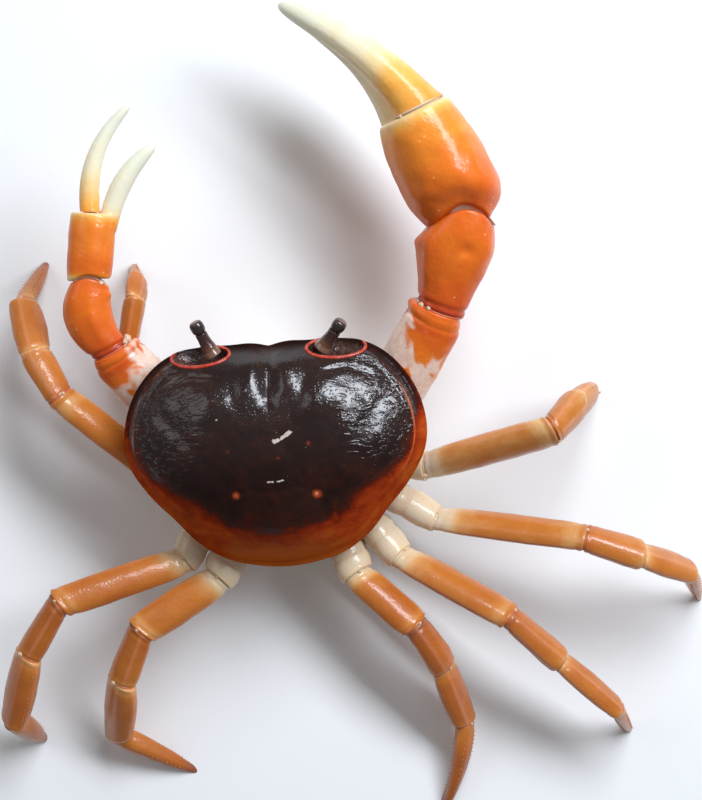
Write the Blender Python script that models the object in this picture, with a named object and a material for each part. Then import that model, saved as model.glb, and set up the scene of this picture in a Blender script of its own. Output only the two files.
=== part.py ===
"""A life-size still model of a freshwater crab, standing on the tips of its eight walking legs.

The crab faces -Y, its left side is +X and +Z is up. Lengths are in millimetres until a mesh is
finished, when they become metres. Headings turn from +X towards +Y; pitches rise above level.
"""

import math

import bmesh
import bpy
from mathutils import Vector

MM = 0.001
GAP = 0.3

# The origin is the middle of the floor that the crab stands on.
ORIGIN = Vector((-7.8, -3.6, 0.0))

# Carapace: its outline is a radius every 15 degrees and its crest a height every 30 degrees,
# both from the front round to the rear, alike on both sides.
CARAPACE_RADII = (14.5, 15.1, 16.9, 19.2, 20.2, 20.4, 19.8, 17.9, 16.3, 16.0, 15.7, 15.2, 15.0)
CREST_HEIGHTS = (17.4, 17.8, 18.8, 18.2, 16.4, 14.6, 13.6)
DOME_TOP = 25.0
DOME_POWER = 2.4
DOME_ROUNDING = 0.85
EDGE_HEIGHT = 12.2
EDGE_INSET = 2.2
FLANK_BULGE = 1.2
BELLY_HEIGHT = 10.2
BELLY_RADIUS = 11.0

ORBIT_CENTRE = Vector((9.1, -13.6, 19.4))
ORBIT_SIZE = Vector((4.0, 1.75, 2.7))
EYES = {
    "left": (Vector((7.4, -13.5, 18.6)), Vector((9.4, -18.1, 20.3))),
    "right": (Vector((-7.2, -13.4, 18.6)), Vector((-10.2, -16.9, 20.7))),
}
STALK_RADIUS = 0.85
EYE_START = 0.66

STERNUM_CENTRE = Vector((0.0, 1.9, 7.3))
STERNUM_SIZE = Vector((9.5, 9.7, 2.6))
MOUTH_CENTRE = Vector((0.0, -10.2, 7.3))
MOUTH_SIZE = Vector((9.0, 1.9, 2.6))
MAXILLIPED_CENTRE = Vector((2.55, -13.0, 7.0))
MAXILLIPED_SIZE = Vector((2.35, 0.6, 2.9))
MOUTH_LEAN = math.radians(20)

# Abdomen: a flap from behind the sternum, round its rear edge and forward under it.
ABDOMEN_PATH = ((13.4, 9.4), (13.0, 5.4), (10.6, 3.75), (5.0, 3.7), (-1.0, 3.8))
ABDOMEN_HALF_WIDTHS = (4.4, 4.2, 3.8, 2.9, 1.2)
ABDOMEN_HALF_THICKNESS = 0.5

# Walking legs: the half-depth and half-thickness of each segment, and how they swell along it.
SEGMENTS = ("base", "merus", "carpus", "propodus", "dactyl")
LEG_HALF_SIZES = ((2.4, 2.0), (2.3, 1.6), (2.2, 1.65), (2.3, 1.4), (1.4, 1.15))
LEG_SWELL = {
    "base": (0.8, 0.95, 1.05, 1.05, 0.88),
    "merus": (0.85, 0.97, 1.0, 1.0, 0.95),
    "carpus": (0.92, 0.95, 1.0, 1.05, 0.98),
    "propodus": (0.9, 1.0, 1.05, 1.0, 0.86),
    "dactyl": (0.95, 0.95, 0.85, 0.68, 0.4),
}
LEG_STATIONS = 7
LEG_SIDES = 8
END_ROUNDING = 0.84

# Each walking leg: hip, how far it is twisted, and for each segment in turn its size, then its
# length, heading and pitch.
WALKING_LEGS = {
    "right_leg_1": (
        (-10.0, 0.0, 8.4),
        -40,
        (1.06, 1.16, 1.2, 1.2, 1.15),
        ((10.5, 159.5, 9), (18.6, -167, 18.5), (5.4, -138, -35), (4.9, -158, -65.5), (8.4, -170, -79)),
    ),
    "right_leg_2": (
        (-10.2, 4.4, 8.4),
        40,
        (0.93, 0.95, 1.05, 1.0, 0.95),
        ((12.5, 148, 7), (20.9, 170.5, 17), (7.9, 158, -10), (8.9, 155, -33), (11.1, 111, -61.5)),
    ),
    "right_leg_3": (
        (-9.9, 8.6, 8.4),
        35,
        (1.0, 1.05, 0.95, 0.88, 1.0),
        ((9.2, 127.5, 10), (17.3, 149, 16.5), (9.6, 133.5, -14.5), (10.9, 134.5, -16.5), (10.6, 113.5, -61.5)),
    ),
    "right_leg_4": (
        (-7.2, 11.6, 8.4),
        60,
        (1.05, 1.02, 0.95, 0.98, 1.1),
        ((6.9, 108.6, 15), (10.5, 136, 13), (8.1, 118, -26), (10.3, 105.5, -29.5), (12.3, 73, -18)),
    ),
    "left_leg_1": (
        (10.0, -0.2, 6.6),
        0,
        (0.9, 0.9, 0.9, 0.9, 0.9),
        ((3.8, -15, -15), (16.2, -65, 8), (6.2, -104, 2), (3.6, -95, -42), (6.2, -62, -67)),
    ),
    "left_leg_2": (
        (10.2, 4.2, 8.4),
        -55,
        (0.95, 0.95, 0.95, 0.95, 1.05),
        ((5.5, -6, 5), (19.6, -44.5, 19.5), (7, -60.5, -17), (8.8, -74.5, -31.5), (10.3, -108, -58)),
    ),
    "left_leg_3": (
        (10.2, 7.9, 8.4),
        -70,
        (0.95, 0.97, 0.9, 1.2, 1.3),
        ((7.9, 56.5, 11), (18, 14.5, 16), (8.8, 54, -13.5), (10.6, 70, -18.5), (10.5, 114, -63)),
    ),
    "left_leg_4": (
        (6.9, 11.9, 8.4),
        -78,
        (1.05, 1.05, 0.97, 1.22, 1.1),
        ((6.35, 60.2, 16), (12.6, 30, 11), (8.2, 63.5, -17.5), (10.6, 77, -33.5), (11.2, 146.5, -21.5)),
    ),
}
# How far the middle of a segment bends out across the limb.
LEG_BENDS = {"right_leg_4_carpus": 0.5, "right_leg_4_dactyl": 0.9}

# Each claw: hip, then for base, merus, carpus and palm the joint at its far end, its half-width
# and its half-height, then how far the palm and fingers are rolled from upright.
CLAWS = {
    "right_claw": {
        "hip": (-10.4, -5.0, 8.6),
        "joints": ((-15.3, -5.7, 11.0), (-23.2, -17.6, 16.0), (-27.1, -30.0, 18.5), (-21.3, -43.8, 20.0)),
        "half_sizes": ((3.0, 2.6), (4.0, 3.4), (5.1, 4.6), (6.1, 7.2)),
        "carpus_swell": (0.66, 0.73, 0.87, 1.0, 0.9),
        "carpus_bow": 0.0,
        "palm_swell": (0.86, 1.0, 1.0, 0.95, 0.84),
        "roll": 20,
        "finger": ((-22.1, -44.0, 22.6), (-15.8, -53.2, 24.0), (-4.6, -59.1, 18.5)),
        "finger_half_sizes": (3.3, 3.1),
        "pollex": ((-21.0, -40.0, 15.5), (-17.2, -52.9, 13.2), (-6.4, -58.0, 16.4)),
        "pollex_half_sizes": (3.4, 3.6),
        "finger_swell": (1.0, 0.8, 0.67, 0.57, 0.32),
        "pollex_swell": (1.0, 0.8, 0.67, 0.57, 0.32),
    },
    "left_claw": {
        "hip": (10.4, -5.0, 8.6),
        "joints": ((14.8, -6.6, 10.9), (21.5, -15.1, 15.2), (23.5, -24.7, 17.0), (22.25, -33.6, 17.2)),
        "half_sizes": ((2.4, 2.1), (3.8, 2.6), (3.8, 3.0), (3.1, 2.7)),
        "carpus_swell": (0.68, 0.78, 0.86, 0.83, 0.68),
        "carpus_bow": -1.6,
        "palm_swell": (0.92, 1.0, 1.0, 1.0, 0.95),
        "roll": 0,
        "finger": ((22.6, -33.9, 17.3), (22.9, -42.2, 17.6), (16.3, -47.5, 17.2)),
        "finger_half_sizes": (1.35, 1.35),
        "pollex": ((20.5, -31.0, 17.1), (19.0, -38.2, 17.2), (13.3, -42.0, 17.0)),
        "pollex_half_sizes": (1.45, 1.4),
        "finger_swell": (1.0, 0.95, 0.8, 0.6, 0.34),
        "pollex_swell": (0.85, 0.92, 0.92, 0.72, 0.4),
    },
}
CLAW_SWELL = {
    "base": (0.9, 1.0, 1.0, 1.0, 1.0),
    "merus": (0.85, 1.0, 1.02, 0.98, 0.9),
}
CLAW_STATIONS = 9
CLAW_SIDES = 12
FINGER_SIDES = 10
FINGER_STATIONS = 11
POLLEX_STATIONS = 9

UP = Vector((0.0, 0.0, 1.0))


def along(values, t):
    """The smooth curve through evenly spaced values, read at t from 0 to 1."""
    span = len(values) - 1
    place = min(max(t, 0.0), 1.0) * span
    i = min(int(place), span - 1)
    f = place - i
    before = values[max(i - 1, 0)]
    start = values[i]
    end = values[i + 1]
    after = values[min(i + 2, span)]
    return start + 0.5 * f * (
        end - before
        + f * (2 * before - 5 * start + 4 * end - after + f * (3 * (start - end) + after - before))
    )


def direction(heading, pitch):
    heading = math.radians(heading)
    pitch = math.radians(pitch)
    level = math.cos(pitch)
    return Vector((level * math.cos(heading), level * math.sin(heading), math.sin(pitch)))


def mirrored(point, side):
    return Vector((point.x * side, point.y, point.z))


def material(name, colour, roughness):
    made = bpy.data.materials.new(name)
    made.use_nodes = True
    shader = made.node_tree.nodes["Principled BSDF"]
    shader.inputs["Base Color"].default_value = (*colour, 1.0)
    shader.inputs["Roughness"].default_value = roughness
    shader.inputs["Metallic"].default_value = 0.0
    return made


def finish(mesh, name, surface, collection):
    """Turns a mesh in millimetres into an object in metres, standing about the origin."""
    for vertex in mesh.verts:
        vertex.co = (vertex.co - ORIGIN) * MM
    data = bpy.data.meshes.new(name)
    mesh.to_mesh(data)
    mesh.free()
    data.shade_smooth()
    data.set_sharp_from_angle(angle=math.radians(50))
    made = bpy.data.objects.new(name, data)
    if surface:
        data.materials.append(surface)
    collection.objects.link(made)
    return made


def cutter(mesh, name, collection):
    made = finish(mesh, name, None, collection)
    made.hide_render = True
    made.display_type = "WIRE"
    return made


def combine(made, other, operation):
    step = made.modifiers.new(other.name, "BOOLEAN")
    step.operation = operation
    step.solver = "EXACT"
    step.object = other


def tube(sides, stations):
    """A closed tube of unit radius from z = 0 to z = 1, with evenly spaced rings."""
    mesh = bmesh.new()
    bmesh.ops.create_cone(
        mesh, cap_ends=True, segments=sides, radius1=1.0, radius2=1.0, depth=1.0
    )
    upright = [edge for edge in mesh.edges if abs(edge.verts[0].co.z - edge.verts[1].co.z) > 0.5]
    bmesh.ops.subdivide_edges(mesh, edges=upright, cuts=stations - 2, use_grid_fill=True)
    for vertex in mesh.verts:
        vertex.co.z += 0.5
    return mesh


def bend(points, t):
    """A point on the curve from the first point to the last, drawn towards the middle one."""
    first, middle, last = points
    return first.lerp(middle, t).lerp(middle.lerp(last, t), t)


def to_plane(point, way, plane):
    """Slides a point along a direction until it lies in a plane."""
    place, normal = plane
    return point + way * ((place - point).dot(normal) / way.dot(normal))


def straight_segment(start, end, across, half_sizes, swell, planes, sides, stations, bends=(0.0, 0.0)):
    """A limb segment whose two ends lie in the planes of its joints and whose middle may bow out."""
    way = (end - start).normalized()
    thick = (across - way * across.dot(way)).normalized()
    deep = way.cross(thick)
    mesh = tube(sides, stations)
    for vertex in mesh.verts:
        t = vertex.co.z
        size = along(swell, t)
        if t < 0.01 or t > 0.99:
            size *= END_ROUNDING
        bent = 4 * t * (1 - t)
        offset = thick * (vertex.co.x * half_sizes[1] * size + bent * bends[0])
        offset += deep * (vertex.co.y * half_sizes[0] * size + bent * bends[1])
        near = to_plane(start + offset, way, planes[0])
        far = to_plane(end + offset, way, planes[1])
        vertex.co = near.lerp(far, t)
    return mesh


def curved_finger(points, across, half_sizes, swell, sides, stations, root_plane=None):
    """A finger that tapers along a curve, with a blunt tip and its root in a plane if one is given."""
    mesh = tube(sides, stations)
    step = 0.01
    for vertex in mesh.verts:
        t = vertex.co.z
        centre = bend(points, t)
        way = (bend(points, t + step) - bend(points, t - step)).normalized()
        thick = (across - way * across.dot(way)).normalized()
        deep = way.cross(thick)
        size = along(swell, t)
        vertex.co = (
            centre
            + thick * (vertex.co.x * half_sizes[1] * size)
            + deep * (vertex.co.y * half_sizes[0] * size)
        )
        if root_plane and t < step:
            vertex.co = to_plane(vertex.co, way, root_plane)
    return mesh


def joint_planes(points):
    """For each segment of a limb, its start plane and its end plane, half the gap inside both."""
    ways = [(b - a).normalized() for a, b in zip(points, points[1:])]
    normals = [ways[0]]
    normals += [(a + b).normalized() for a, b in zip(ways, ways[1:])]
    normals.append(ways[-1])
    planes = []
    for i in range(len(ways)):
        start = (points[i] + normals[i] * (GAP / 2), normals[i])
        end = (points[i + 1] - normals[i + 1] * (GAP / 2), normals[i + 1])
        planes.append((start, end))
    return planes


def outline_radius(bearing):
    return along(CARAPACE_RADII, bearing / math.pi)


def carapace_point(bearing, polar, side, grow):
    """The carapace's surface, by bearing from the front and angle from the top."""
    radius = outline_radius(bearing) + grow
    crest = along(CREST_HEIGHTS, bearing / math.pi)
    quarter = math.pi / 2
    if polar <= quarter + 0.001:
        share = min(math.sin(polar), 1.0)
        lift = max(1.0 - share**DOME_POWER, 0.0) ** DOME_ROUNDING
        reach = radius * share
        height = crest + (DOME_TOP + grow - crest) * lift
    else:
        down = (polar - quarter) / quarter
        if down < 0.5:
            fall = down / 0.5
            rearward = bearing / math.pi
            reach = radius - EDGE_INSET * fall**2 + FLANK_BULGE * rearward * math.sin(math.pi * fall)
            height = crest + (EDGE_HEIGHT - grow - crest) * fall
        else:
            fall = (down - 0.5) / 0.5
            edge = radius - EDGE_INSET
            reach = edge * (1 - fall)
            slope = min((edge - reach) / (edge - BELLY_RADIUS), 1.0)
            height = EDGE_HEIGHT - grow + (BELLY_HEIGHT - EDGE_HEIGHT) * slope
    return Vector((side * reach * math.sin(bearing), -reach * math.cos(bearing), height))


def carapace_mesh(grow, around, down):
    mesh = bmesh.new()
    bmesh.ops.create_uvsphere(mesh, u_segments=around, v_segments=down, radius=1.0)
    for vertex in mesh.verts:
        x, y, z = vertex.co
        bearing = math.atan2(abs(x), -y)
        polar = math.acos(max(-1.0, min(1.0, z)))
        vertex.co = carapace_point(bearing, polar, 1 if x >= 0 else -1, grow)
    return mesh


def pillow(centre, size, squareness, around=16, down=10):
    """A rounded block: an ellipsoid squared off by raising its shape to a power."""
    mesh = bmesh.new()
    bmesh.ops.create_uvsphere(mesh, u_segments=around, v_segments=down, radius=1.0)
    for vertex in mesh.verts:
        co = vertex.co
        span = sum(abs(part) ** squareness for part in co) ** (1 / squareness)
        vertex.co = centre + Vector(size[i] * co[i] / span for i in range(3))
    return mesh


def leaning_pillow(centre, size):
    """A rounded block whose top leans forward, as the face of the crab does."""
    mesh = pillow(centre, size, 3.5, 16, 8)
    for vertex in mesh.verts:
        vertex.co.y -= (vertex.co.z - centre.z) * math.tan(MOUTH_LEAN)
    return mesh


def make_carapace(parts, cutters, surface):
    shell = finish(carapace_mesh(0.0, 40, 14), "carapace", surface, parts)
    for name, side in (("left", 1), ("right", -1)):
        mesh = pillow(mirrored(ORBIT_CENTRE, side), ORBIT_SIZE, 2.0, 14, 8)
        combine(shell, cutter(mesh, name + "_orbit", cutters), "DIFFERENCE")


def make_underside(parts, shell, cream):
    finish(pillow(STERNUM_CENTRE, STERNUM_SIZE, 4.0, 20, 8), "sternum", cream, parts)
    finish(leaning_pillow(MOUTH_CENTRE, MOUTH_SIZE), "mouth_frame", shell, parts)
    for name, side in (("left", 1), ("right", -1)):
        mesh = leaning_pillow(mirrored(MAXILLIPED_CENTRE, side), MAXILLIPED_SIZE)
        finish(mesh, name + "_maxilliped", cream, parts)
    make_abdomen(parts, cream)


def make_abdomen(parts, cream):
    mesh = tube(12, 13)
    step = 0.01
    heights = [point[1] for point in ABDOMEN_PATH]
    places = [point[0] for point in ABDOMEN_PATH]

    def centre(t):
        return Vector((0, along(places, t), along(heights, t)))

    for vertex in mesh.verts:
        t = vertex.co.z
        way = (centre(min(t + step, 1)) - centre(max(t - step, 0))).normalized()
        out = way.cross(Vector((1, 0, 0)))
        half = along(ABDOMEN_HALF_WIDTHS, t)
        vertex.co = (
            centre(t)
            + Vector((vertex.co.x * half, 0, 0))
            + out * (vertex.co.y * ABDOMEN_HALF_THICKNESS)
        )
    finish(mesh, "abdomen", cream, parts)


def make_eyes(parts, stalk_surface, eye_surface):
    for name, (root, tip) in EYES.items():
        points = [root, root.lerp(tip, EYE_START), tip]
        planes = joint_planes(points)
        round_size = (STALK_RADIUS, STALK_RADIUS)
        stalk = straight_segment(
            points[0], points[1], UP, round_size, (1.15, 1.05, 0.95, 0.9, 0.9), planes[0], 10, 5
        )
        finish(stalk, name + "_eyestalk", stalk_surface, parts)
        eye = straight_segment(
            points[1], points[2], UP, round_size, (1.0, 1.15, 1.15, 0.95, 0.55), planes[1], 10, 6
        )
        finish(eye, name + "_eye", eye_surface, parts)


def make_walking_leg(name, parts, carve, surfaces):
    hip, twist, scales, pose = WALKING_LEGS[name]
    points = [Vector(hip)]
    for length, heading, pitch in pose:
        points.append(points[-1] + direction(heading, pitch) * length)
    planes = joint_planes(points)
    merus_heading = math.radians(pose[1][1])
    level = Vector((-math.sin(merus_heading), math.cos(merus_heading), 0))
    for i, segment in enumerate(SEGMENTS):
        way = (points[i + 1] - points[i]).normalized()
        thick = (level - way * level.dot(way)).normalized()
        deep = way.cross(thick)
        turn = math.radians(twist)
        across = thick * math.cos(turn) + deep * math.sin(turn)
        half_sizes = [size * scales[i] for size in LEG_HALF_SIZES[i]]
        start_plane, end_plane = planes[i]
        if segment == "dactyl":
            end_plane = (Vector((0, 0, 0)), UP)
        mesh = straight_segment(
            points[i],
            points[i + 1],
            across,
            half_sizes,
            LEG_SWELL[segment],
            (start_plane, end_plane),
            LEG_SIDES,
            LEG_STATIONS,
            (LEG_BENDS.get(f"{name}_{segment}", 0.0), 0.0),
        )
        made = finish(mesh, f"{name}_{segment}", surfaces[segment], parts)
        if segment in ("base", "merus"):
            combine(made, carve, "DIFFERENCE")


def make_claw(name, parts, cutters, carve, surfaces):
    claw = CLAWS[name]
    points = [Vector(claw["hip"])] + [Vector(joint) for joint in claw["joints"]]
    planes = joint_planes(points)
    roll = math.radians(claw["roll"])
    for i, segment in enumerate(("base", "merus", "carpus", "palm")):
        way = (points[i + 1] - points[i]).normalized()
        level = way.cross(UP).normalized()
        upright = level.cross(way)
        turn = roll if segment == "palm" else 0.0
        across = upright * math.cos(turn) + level * math.sin(turn)
        mesh = straight_segment(
            points[i],
            points[i + 1],
            across,
            claw["half_sizes"][i],
            claw.get(segment + "_swell") or CLAW_SWELL[segment],
            planes[i],
            CLAW_SIDES,
            CLAW_STATIONS,
            (0.0, claw["carpus_bow"] if segment == "carpus" else 0.0),
        )
        made = finish(mesh, f"{name}_{segment}", surfaces[segment], parts)
        if segment in ("base", "merus"):
            combine(made, carve, "DIFFERENCE")
        if segment == "palm":
            pollex = [Vector(point) for point in claw["pollex"]]
            half_sizes = claw["pollex_half_sizes"]
            swell = claw["pollex_swell"]
            mesh = curved_finger(pollex, across, half_sizes, swell, FINGER_SIDES, POLLEX_STATIONS)
            combine(made, cutter(mesh, name + "_pollex", cutters), "UNION")
    finger = [Vector(point) for point in claw["finger"]]
    hinge = (points[-1] + way * (GAP / 2), way)
    half_sizes = claw["finger_half_sizes"]
    swell = claw["finger_swell"]
    mesh = curved_finger(finger, across, half_sizes, swell, FINGER_SIDES, FINGER_STATIONS, hinge)
    finish(mesh, name + "_finger", surfaces["finger"], parts)


def main():
    for old in list(bpy.data.objects):
        bpy.data.objects.remove(old)
    parts = bpy.data.collections.new("freshwater_crab")
    cutters = bpy.data.collections.new("cutters")
    bpy.context.scene.collection.children.link(parts)
    bpy.context.scene.collection.children.link(cutters)
    brown = material("carapace_brown", (0.06, 0.02, 0.015), 0.25)
    orange = material("limb_orange", (0.75, 0.22, 0.03), 0.35)
    amber = material("leg_amber", (0.55, 0.24, 0.07), 0.4)
    cream = material("underside_cream", (0.75, 0.62, 0.42), 0.45)
    stalk = material("stalk_brown", (0.12, 0.07, 0.05), 0.3)
    cornea = material("cornea_black", (0.02, 0.02, 0.025), 0.1)
    make_carapace(parts, cutters, brown)
    make_underside(parts, amber, cream)
    make_eyes(parts, stalk, cornea)
    carve = cutter(carapace_mesh(GAP, 40, 14), "carapace_clearance", cutters)
    leg_surfaces = dict.fromkeys(SEGMENTS, amber)
    leg_surfaces["base"] = cream
    for name in WALKING_LEGS:
        make_walking_leg(name, parts, carve, leg_surfaces)
    claw_surfaces = {
        "base": cream,
        "merus": orange,
        "carpus": orange,
        "palm": orange,
        "finger": cream,
    }
    for name in CLAWS:
        make_claw(name, parts, cutters, carve, claw_surfaces)


main()
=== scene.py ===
import math

import bmesh
import bpy
from mathutils import Matrix, Vector, noise


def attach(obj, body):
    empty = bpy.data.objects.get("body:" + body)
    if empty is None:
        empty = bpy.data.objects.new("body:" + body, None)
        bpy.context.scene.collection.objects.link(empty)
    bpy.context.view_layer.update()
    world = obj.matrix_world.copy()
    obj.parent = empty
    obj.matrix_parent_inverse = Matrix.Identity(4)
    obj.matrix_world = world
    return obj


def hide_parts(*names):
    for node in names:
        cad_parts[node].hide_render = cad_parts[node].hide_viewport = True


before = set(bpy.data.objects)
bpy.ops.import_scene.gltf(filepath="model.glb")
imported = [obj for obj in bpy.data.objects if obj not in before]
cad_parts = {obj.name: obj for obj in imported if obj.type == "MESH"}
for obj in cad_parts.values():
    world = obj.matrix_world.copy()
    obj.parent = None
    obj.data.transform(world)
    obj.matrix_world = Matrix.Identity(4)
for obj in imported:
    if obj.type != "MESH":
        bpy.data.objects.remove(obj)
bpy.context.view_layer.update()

# The crab is shaped in millimetres, facing -Y with its left side at +X, and its pieces are moved
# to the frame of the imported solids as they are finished.
MM = 0.001
ORIGIN = Vector((-7.8, -3.6, 0.0))
UP = Vector((0.0, 0.0, 1.0))
SIDEWAYS = Vector((1.0, 0.0, 0.0))
SIDES = (("left", 1), ("right", -1))
QUARTER = math.pi / 2
FULL_TURN = 2 * math.pi
# A half-width so large that a hump goes all the way round a limb.
ALL_ROUND = 20.0
# The gap that the shells of neighbouring segments leave between them.
SKIN_GAP = 0.1
# The half-thickness of a ring before it is laid along an edge, against a radius of 1.
RING_TUBE = 0.25
# How far apart two places on a curve are when its direction is read from them.
CURVE_STEP = 0.01
SHARP_EDGE = math.radians(60)
CUT_SHARP_EDGE = math.radians(50)
# Tones of the skin and the hinge knobs in the joints.
SKIN_TONE = 0.12
CONDYLE_TONE = 0.3
# Painted values of a shell: its tone, where a highlight is painted along its upper keels, and where
# it is pale.
SHELL_LAYERS = ("tone", "keel_highlight", "pale")
CARAPACE_LAYERS = ("warm", "line", "pit", "granular", "streaked", "mark")

# Carapace: outline radius every 15 degrees and crest height every 30, from the front to the rear.
CARAPACE_RADII = (14.5, 15.1, 16.9, 19.2, 20.2, 20.4, 19.8, 17.9, 16.3, 16.0, 15.7, 15.2, 15.0)
CREST_HEIGHTS = (17.4, 17.8, 18.8, 18.2, 16.4, 14.6, 13.6)
DOME_TOP = 25.0
DOME_POWER = 2.4
DOME_ROUNDING = 0.85
EDGE_HEIGHT = 12.2
EDGE_INSET = 2.2
FLANK_BULGE = 1.2
BELLY_HEIGHT = 10.2
BELLY_RADIUS = 11.0
# Swellings of the front edge, by bearing; and ripples along the side and rear edges, by distance
# inside the edge. Each has place, half-width and height.
FRONT_LOBES = ((0.2, 0.11, 0.22), (0.0, 0.07, -0.2))
SIDE_RIPPLES = ((1.45, 0.34, 0.26), (0.75, 0.4, -0.2))
REAR_RIPPLES = ((0.4, 0.3, 0.1), (1.1, 0.4, -0.12))
ORBIT_CENTRE = Vector((9.1, -13.6, 19.4))
ORBIT_SIZE = Vector((4.0, 1.75, 2.7))
ORBIT_POINTS = 96
RIM_HALF_WIDTHS = (0.26, 0.22)

# Swellings of the back, on one side: place, reach sideways and lengthways, height.
SWELLINGS = (
    ((2.6, -10.3), (2.0, 2.7), 0.42),
    ((7.4, -6.9), (3.2, 3.6), 0.45),
    ((0.0, -1.6), (3.0, 4.2), 0.2),
    ((0.0, 8.6), (4.4, 2.9), 0.24),
    ((12.2, 2.4), (3.8, 5.6), 0.35),
    ((13.4, -7.8), (2.4, 2.0), 0.18),
    ((0.0, -12.0), (5.5, 1.9), 0.7),
)
# Furrows of the back, on one side: the points that each runs through, its half-width and depth.
FURROWS = (
    (((0.0, -16.5), (0.0, -12.0), (0.0, -7.4)), 1.15, 0.5),
    (((4.9, -12.6), (4.7, -9.6), (4.2, -6.6)), 0.9, 0.12),
    (((7.4, -10.5), (10.4, -10.9), (13.6, -9.6)), 0.45, 0.26),
    (((5.4, 5.4), (7.2, 2.2), (10.2, -1.2), (13.0, -4.2), (15.2, -6.6)), 1.0, 0.2),
    (((5.2, 4.9), (3.0, 4.3), (0.0, 4.9)), 0.4, 0.12),
    (((5.4, 5.4), (6.7, 8.4), (6.3, 11.2)), 0.8, 0.16),
    (((1.2, -3.6), (2.6, 0.4), (4.9, 4.4)), 0.6, 0.09),
)
# Small round pits of the back: place and size.
PITS = (
    ((5.1, 5.0), 1.0),
    ((-5.5, 5.4), 1.0),
    ((-0.9, 0.3), 0.5),
    ((-4.9, -1.3), 0.5),
    ((5.7, -0.8), 0.45),
)
PIT_DEPTH = 0.13
# The width of the reddish border every 30 degrees from the front to the rear.
BORDER_WIDTHS = (0.2, 0.2, 0.4, 2.0, 4.0, 4.3, 3.5)
# Pale marks on the back: each runs from one point to another and has this half-width.
MARKS = (
    ((-0.5, -1.85), (-0.9, -1.95), 0.24),
    ((-1.45, -2.15), (-1.85, -2.4), 0.17),
    ((-2.15, -2.6), (-2.6, -2.95), 0.24),
    ((0.75, 3.35), (0.05, 3.45), 0.09),
    ((-0.5, 3.4), (-1.3, 3.3), 0.09),
    ((6.94, -5.16), (6.9, -5.2), 0.13),
    ((-4.7, -0.8), (-4.8, -0.7), 0.1),
)

# Each eyestalk's root and the tip of its eye.
EYES = {
    "left": (Vector((7.4, -13.5, 18.6)), Vector((9.4, -18.1, 20.3))),
    "right": (Vector((-7.2, -13.4, 18.6)), Vector((-10.2, -16.9, 20.7))),
}
STALK_RADIUS = 0.85
EYE_START = 0.66

# The blocks of the underside and face: centre and half size.
STERNUM_CENTRE = Vector((0.0, 1.9, 7.3))
STERNUM_SIZE = Vector((9.5, 9.7, 2.6))
MOUTH_CENTRE = Vector((0.0, -10.2, 7.3))
MOUTH_SIZE = Vector((9.0, 1.9, 2.6))
MAXILLIPED_CENTRE = Vector((2.55, -13.0, 7.0))
MAXILLIPED_SIZE = Vector((2.35, 0.6, 2.9))
MOUTH_LEAN = math.radians(20)
MOUTH_GROOVE_DEPTH = 0.25
# The abdomen folded under the body: places from rear to front, as depth and height.
ABDOMEN_PATH = ((13.4, 9.4), (13.0, 5.4), (10.6, 3.75), (5.0, 3.7), (-1.0, 3.8))
ABDOMEN_HALF_WIDTHS = (4.4, 4.2, 3.8, 2.9, 1.2)
ABDOMEN_HALF_THICKNESS = 0.5
ABDOMEN_SEAMS = (0.17, 0.3, 0.42, 0.54, 0.67, 0.82)
STERNUM_SEAMS = (-4.6, -0.8, 3.0, 6.6)
STERNUM_SEAM_DEPTH = 0.35
# Feelers and the stems that carry them, on one side: foot, tip and half-thickness.
FEELERS = (
    ((3.1, -12.6, 9.4), (4.0, -13.9, 12.2), 0.34),
    ((4.0, -13.8, 12.1), (4.9, -14.4, 14.4), 0.22),
    ((1.5, -12.7, 9.6), (2.2, -14.1, 11.9), 0.38),
)
FEELER_FORM = {"swell": (1.0, 1.1, 0.95, 0.8, 0.6), "tones": (0.3, 0.45, 0.5, 0.6, 0.7)}
STALK_FORM = {
    "swell": (1.5, 1.3, 1.08, 0.97, 0.98),
    "tones": (0.05, 0.15, 0.4, 0.6, 0.7, 0.75),
    "rings": ((0.25, 0.06, -0.08),),
}
EYE_FORM = {
    "swell": (0.99, 1.08, 1.12, 1.08, 0.95),
    "tones": (0.1, 0.4, 0.5, 0.5, 0.75),
    "power": 5.0,
}

SEGMENTS = ("base", "merus", "carpus", "propodus", "dactyl")
# Half sizes of a walking leg's segments: across the leg and through it.
LEG_HALF_SIZES = ((2.4, 2.0), (2.3, 1.6), (2.2, 1.65), (2.3, 1.4), (1.4, 1.15))
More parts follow.
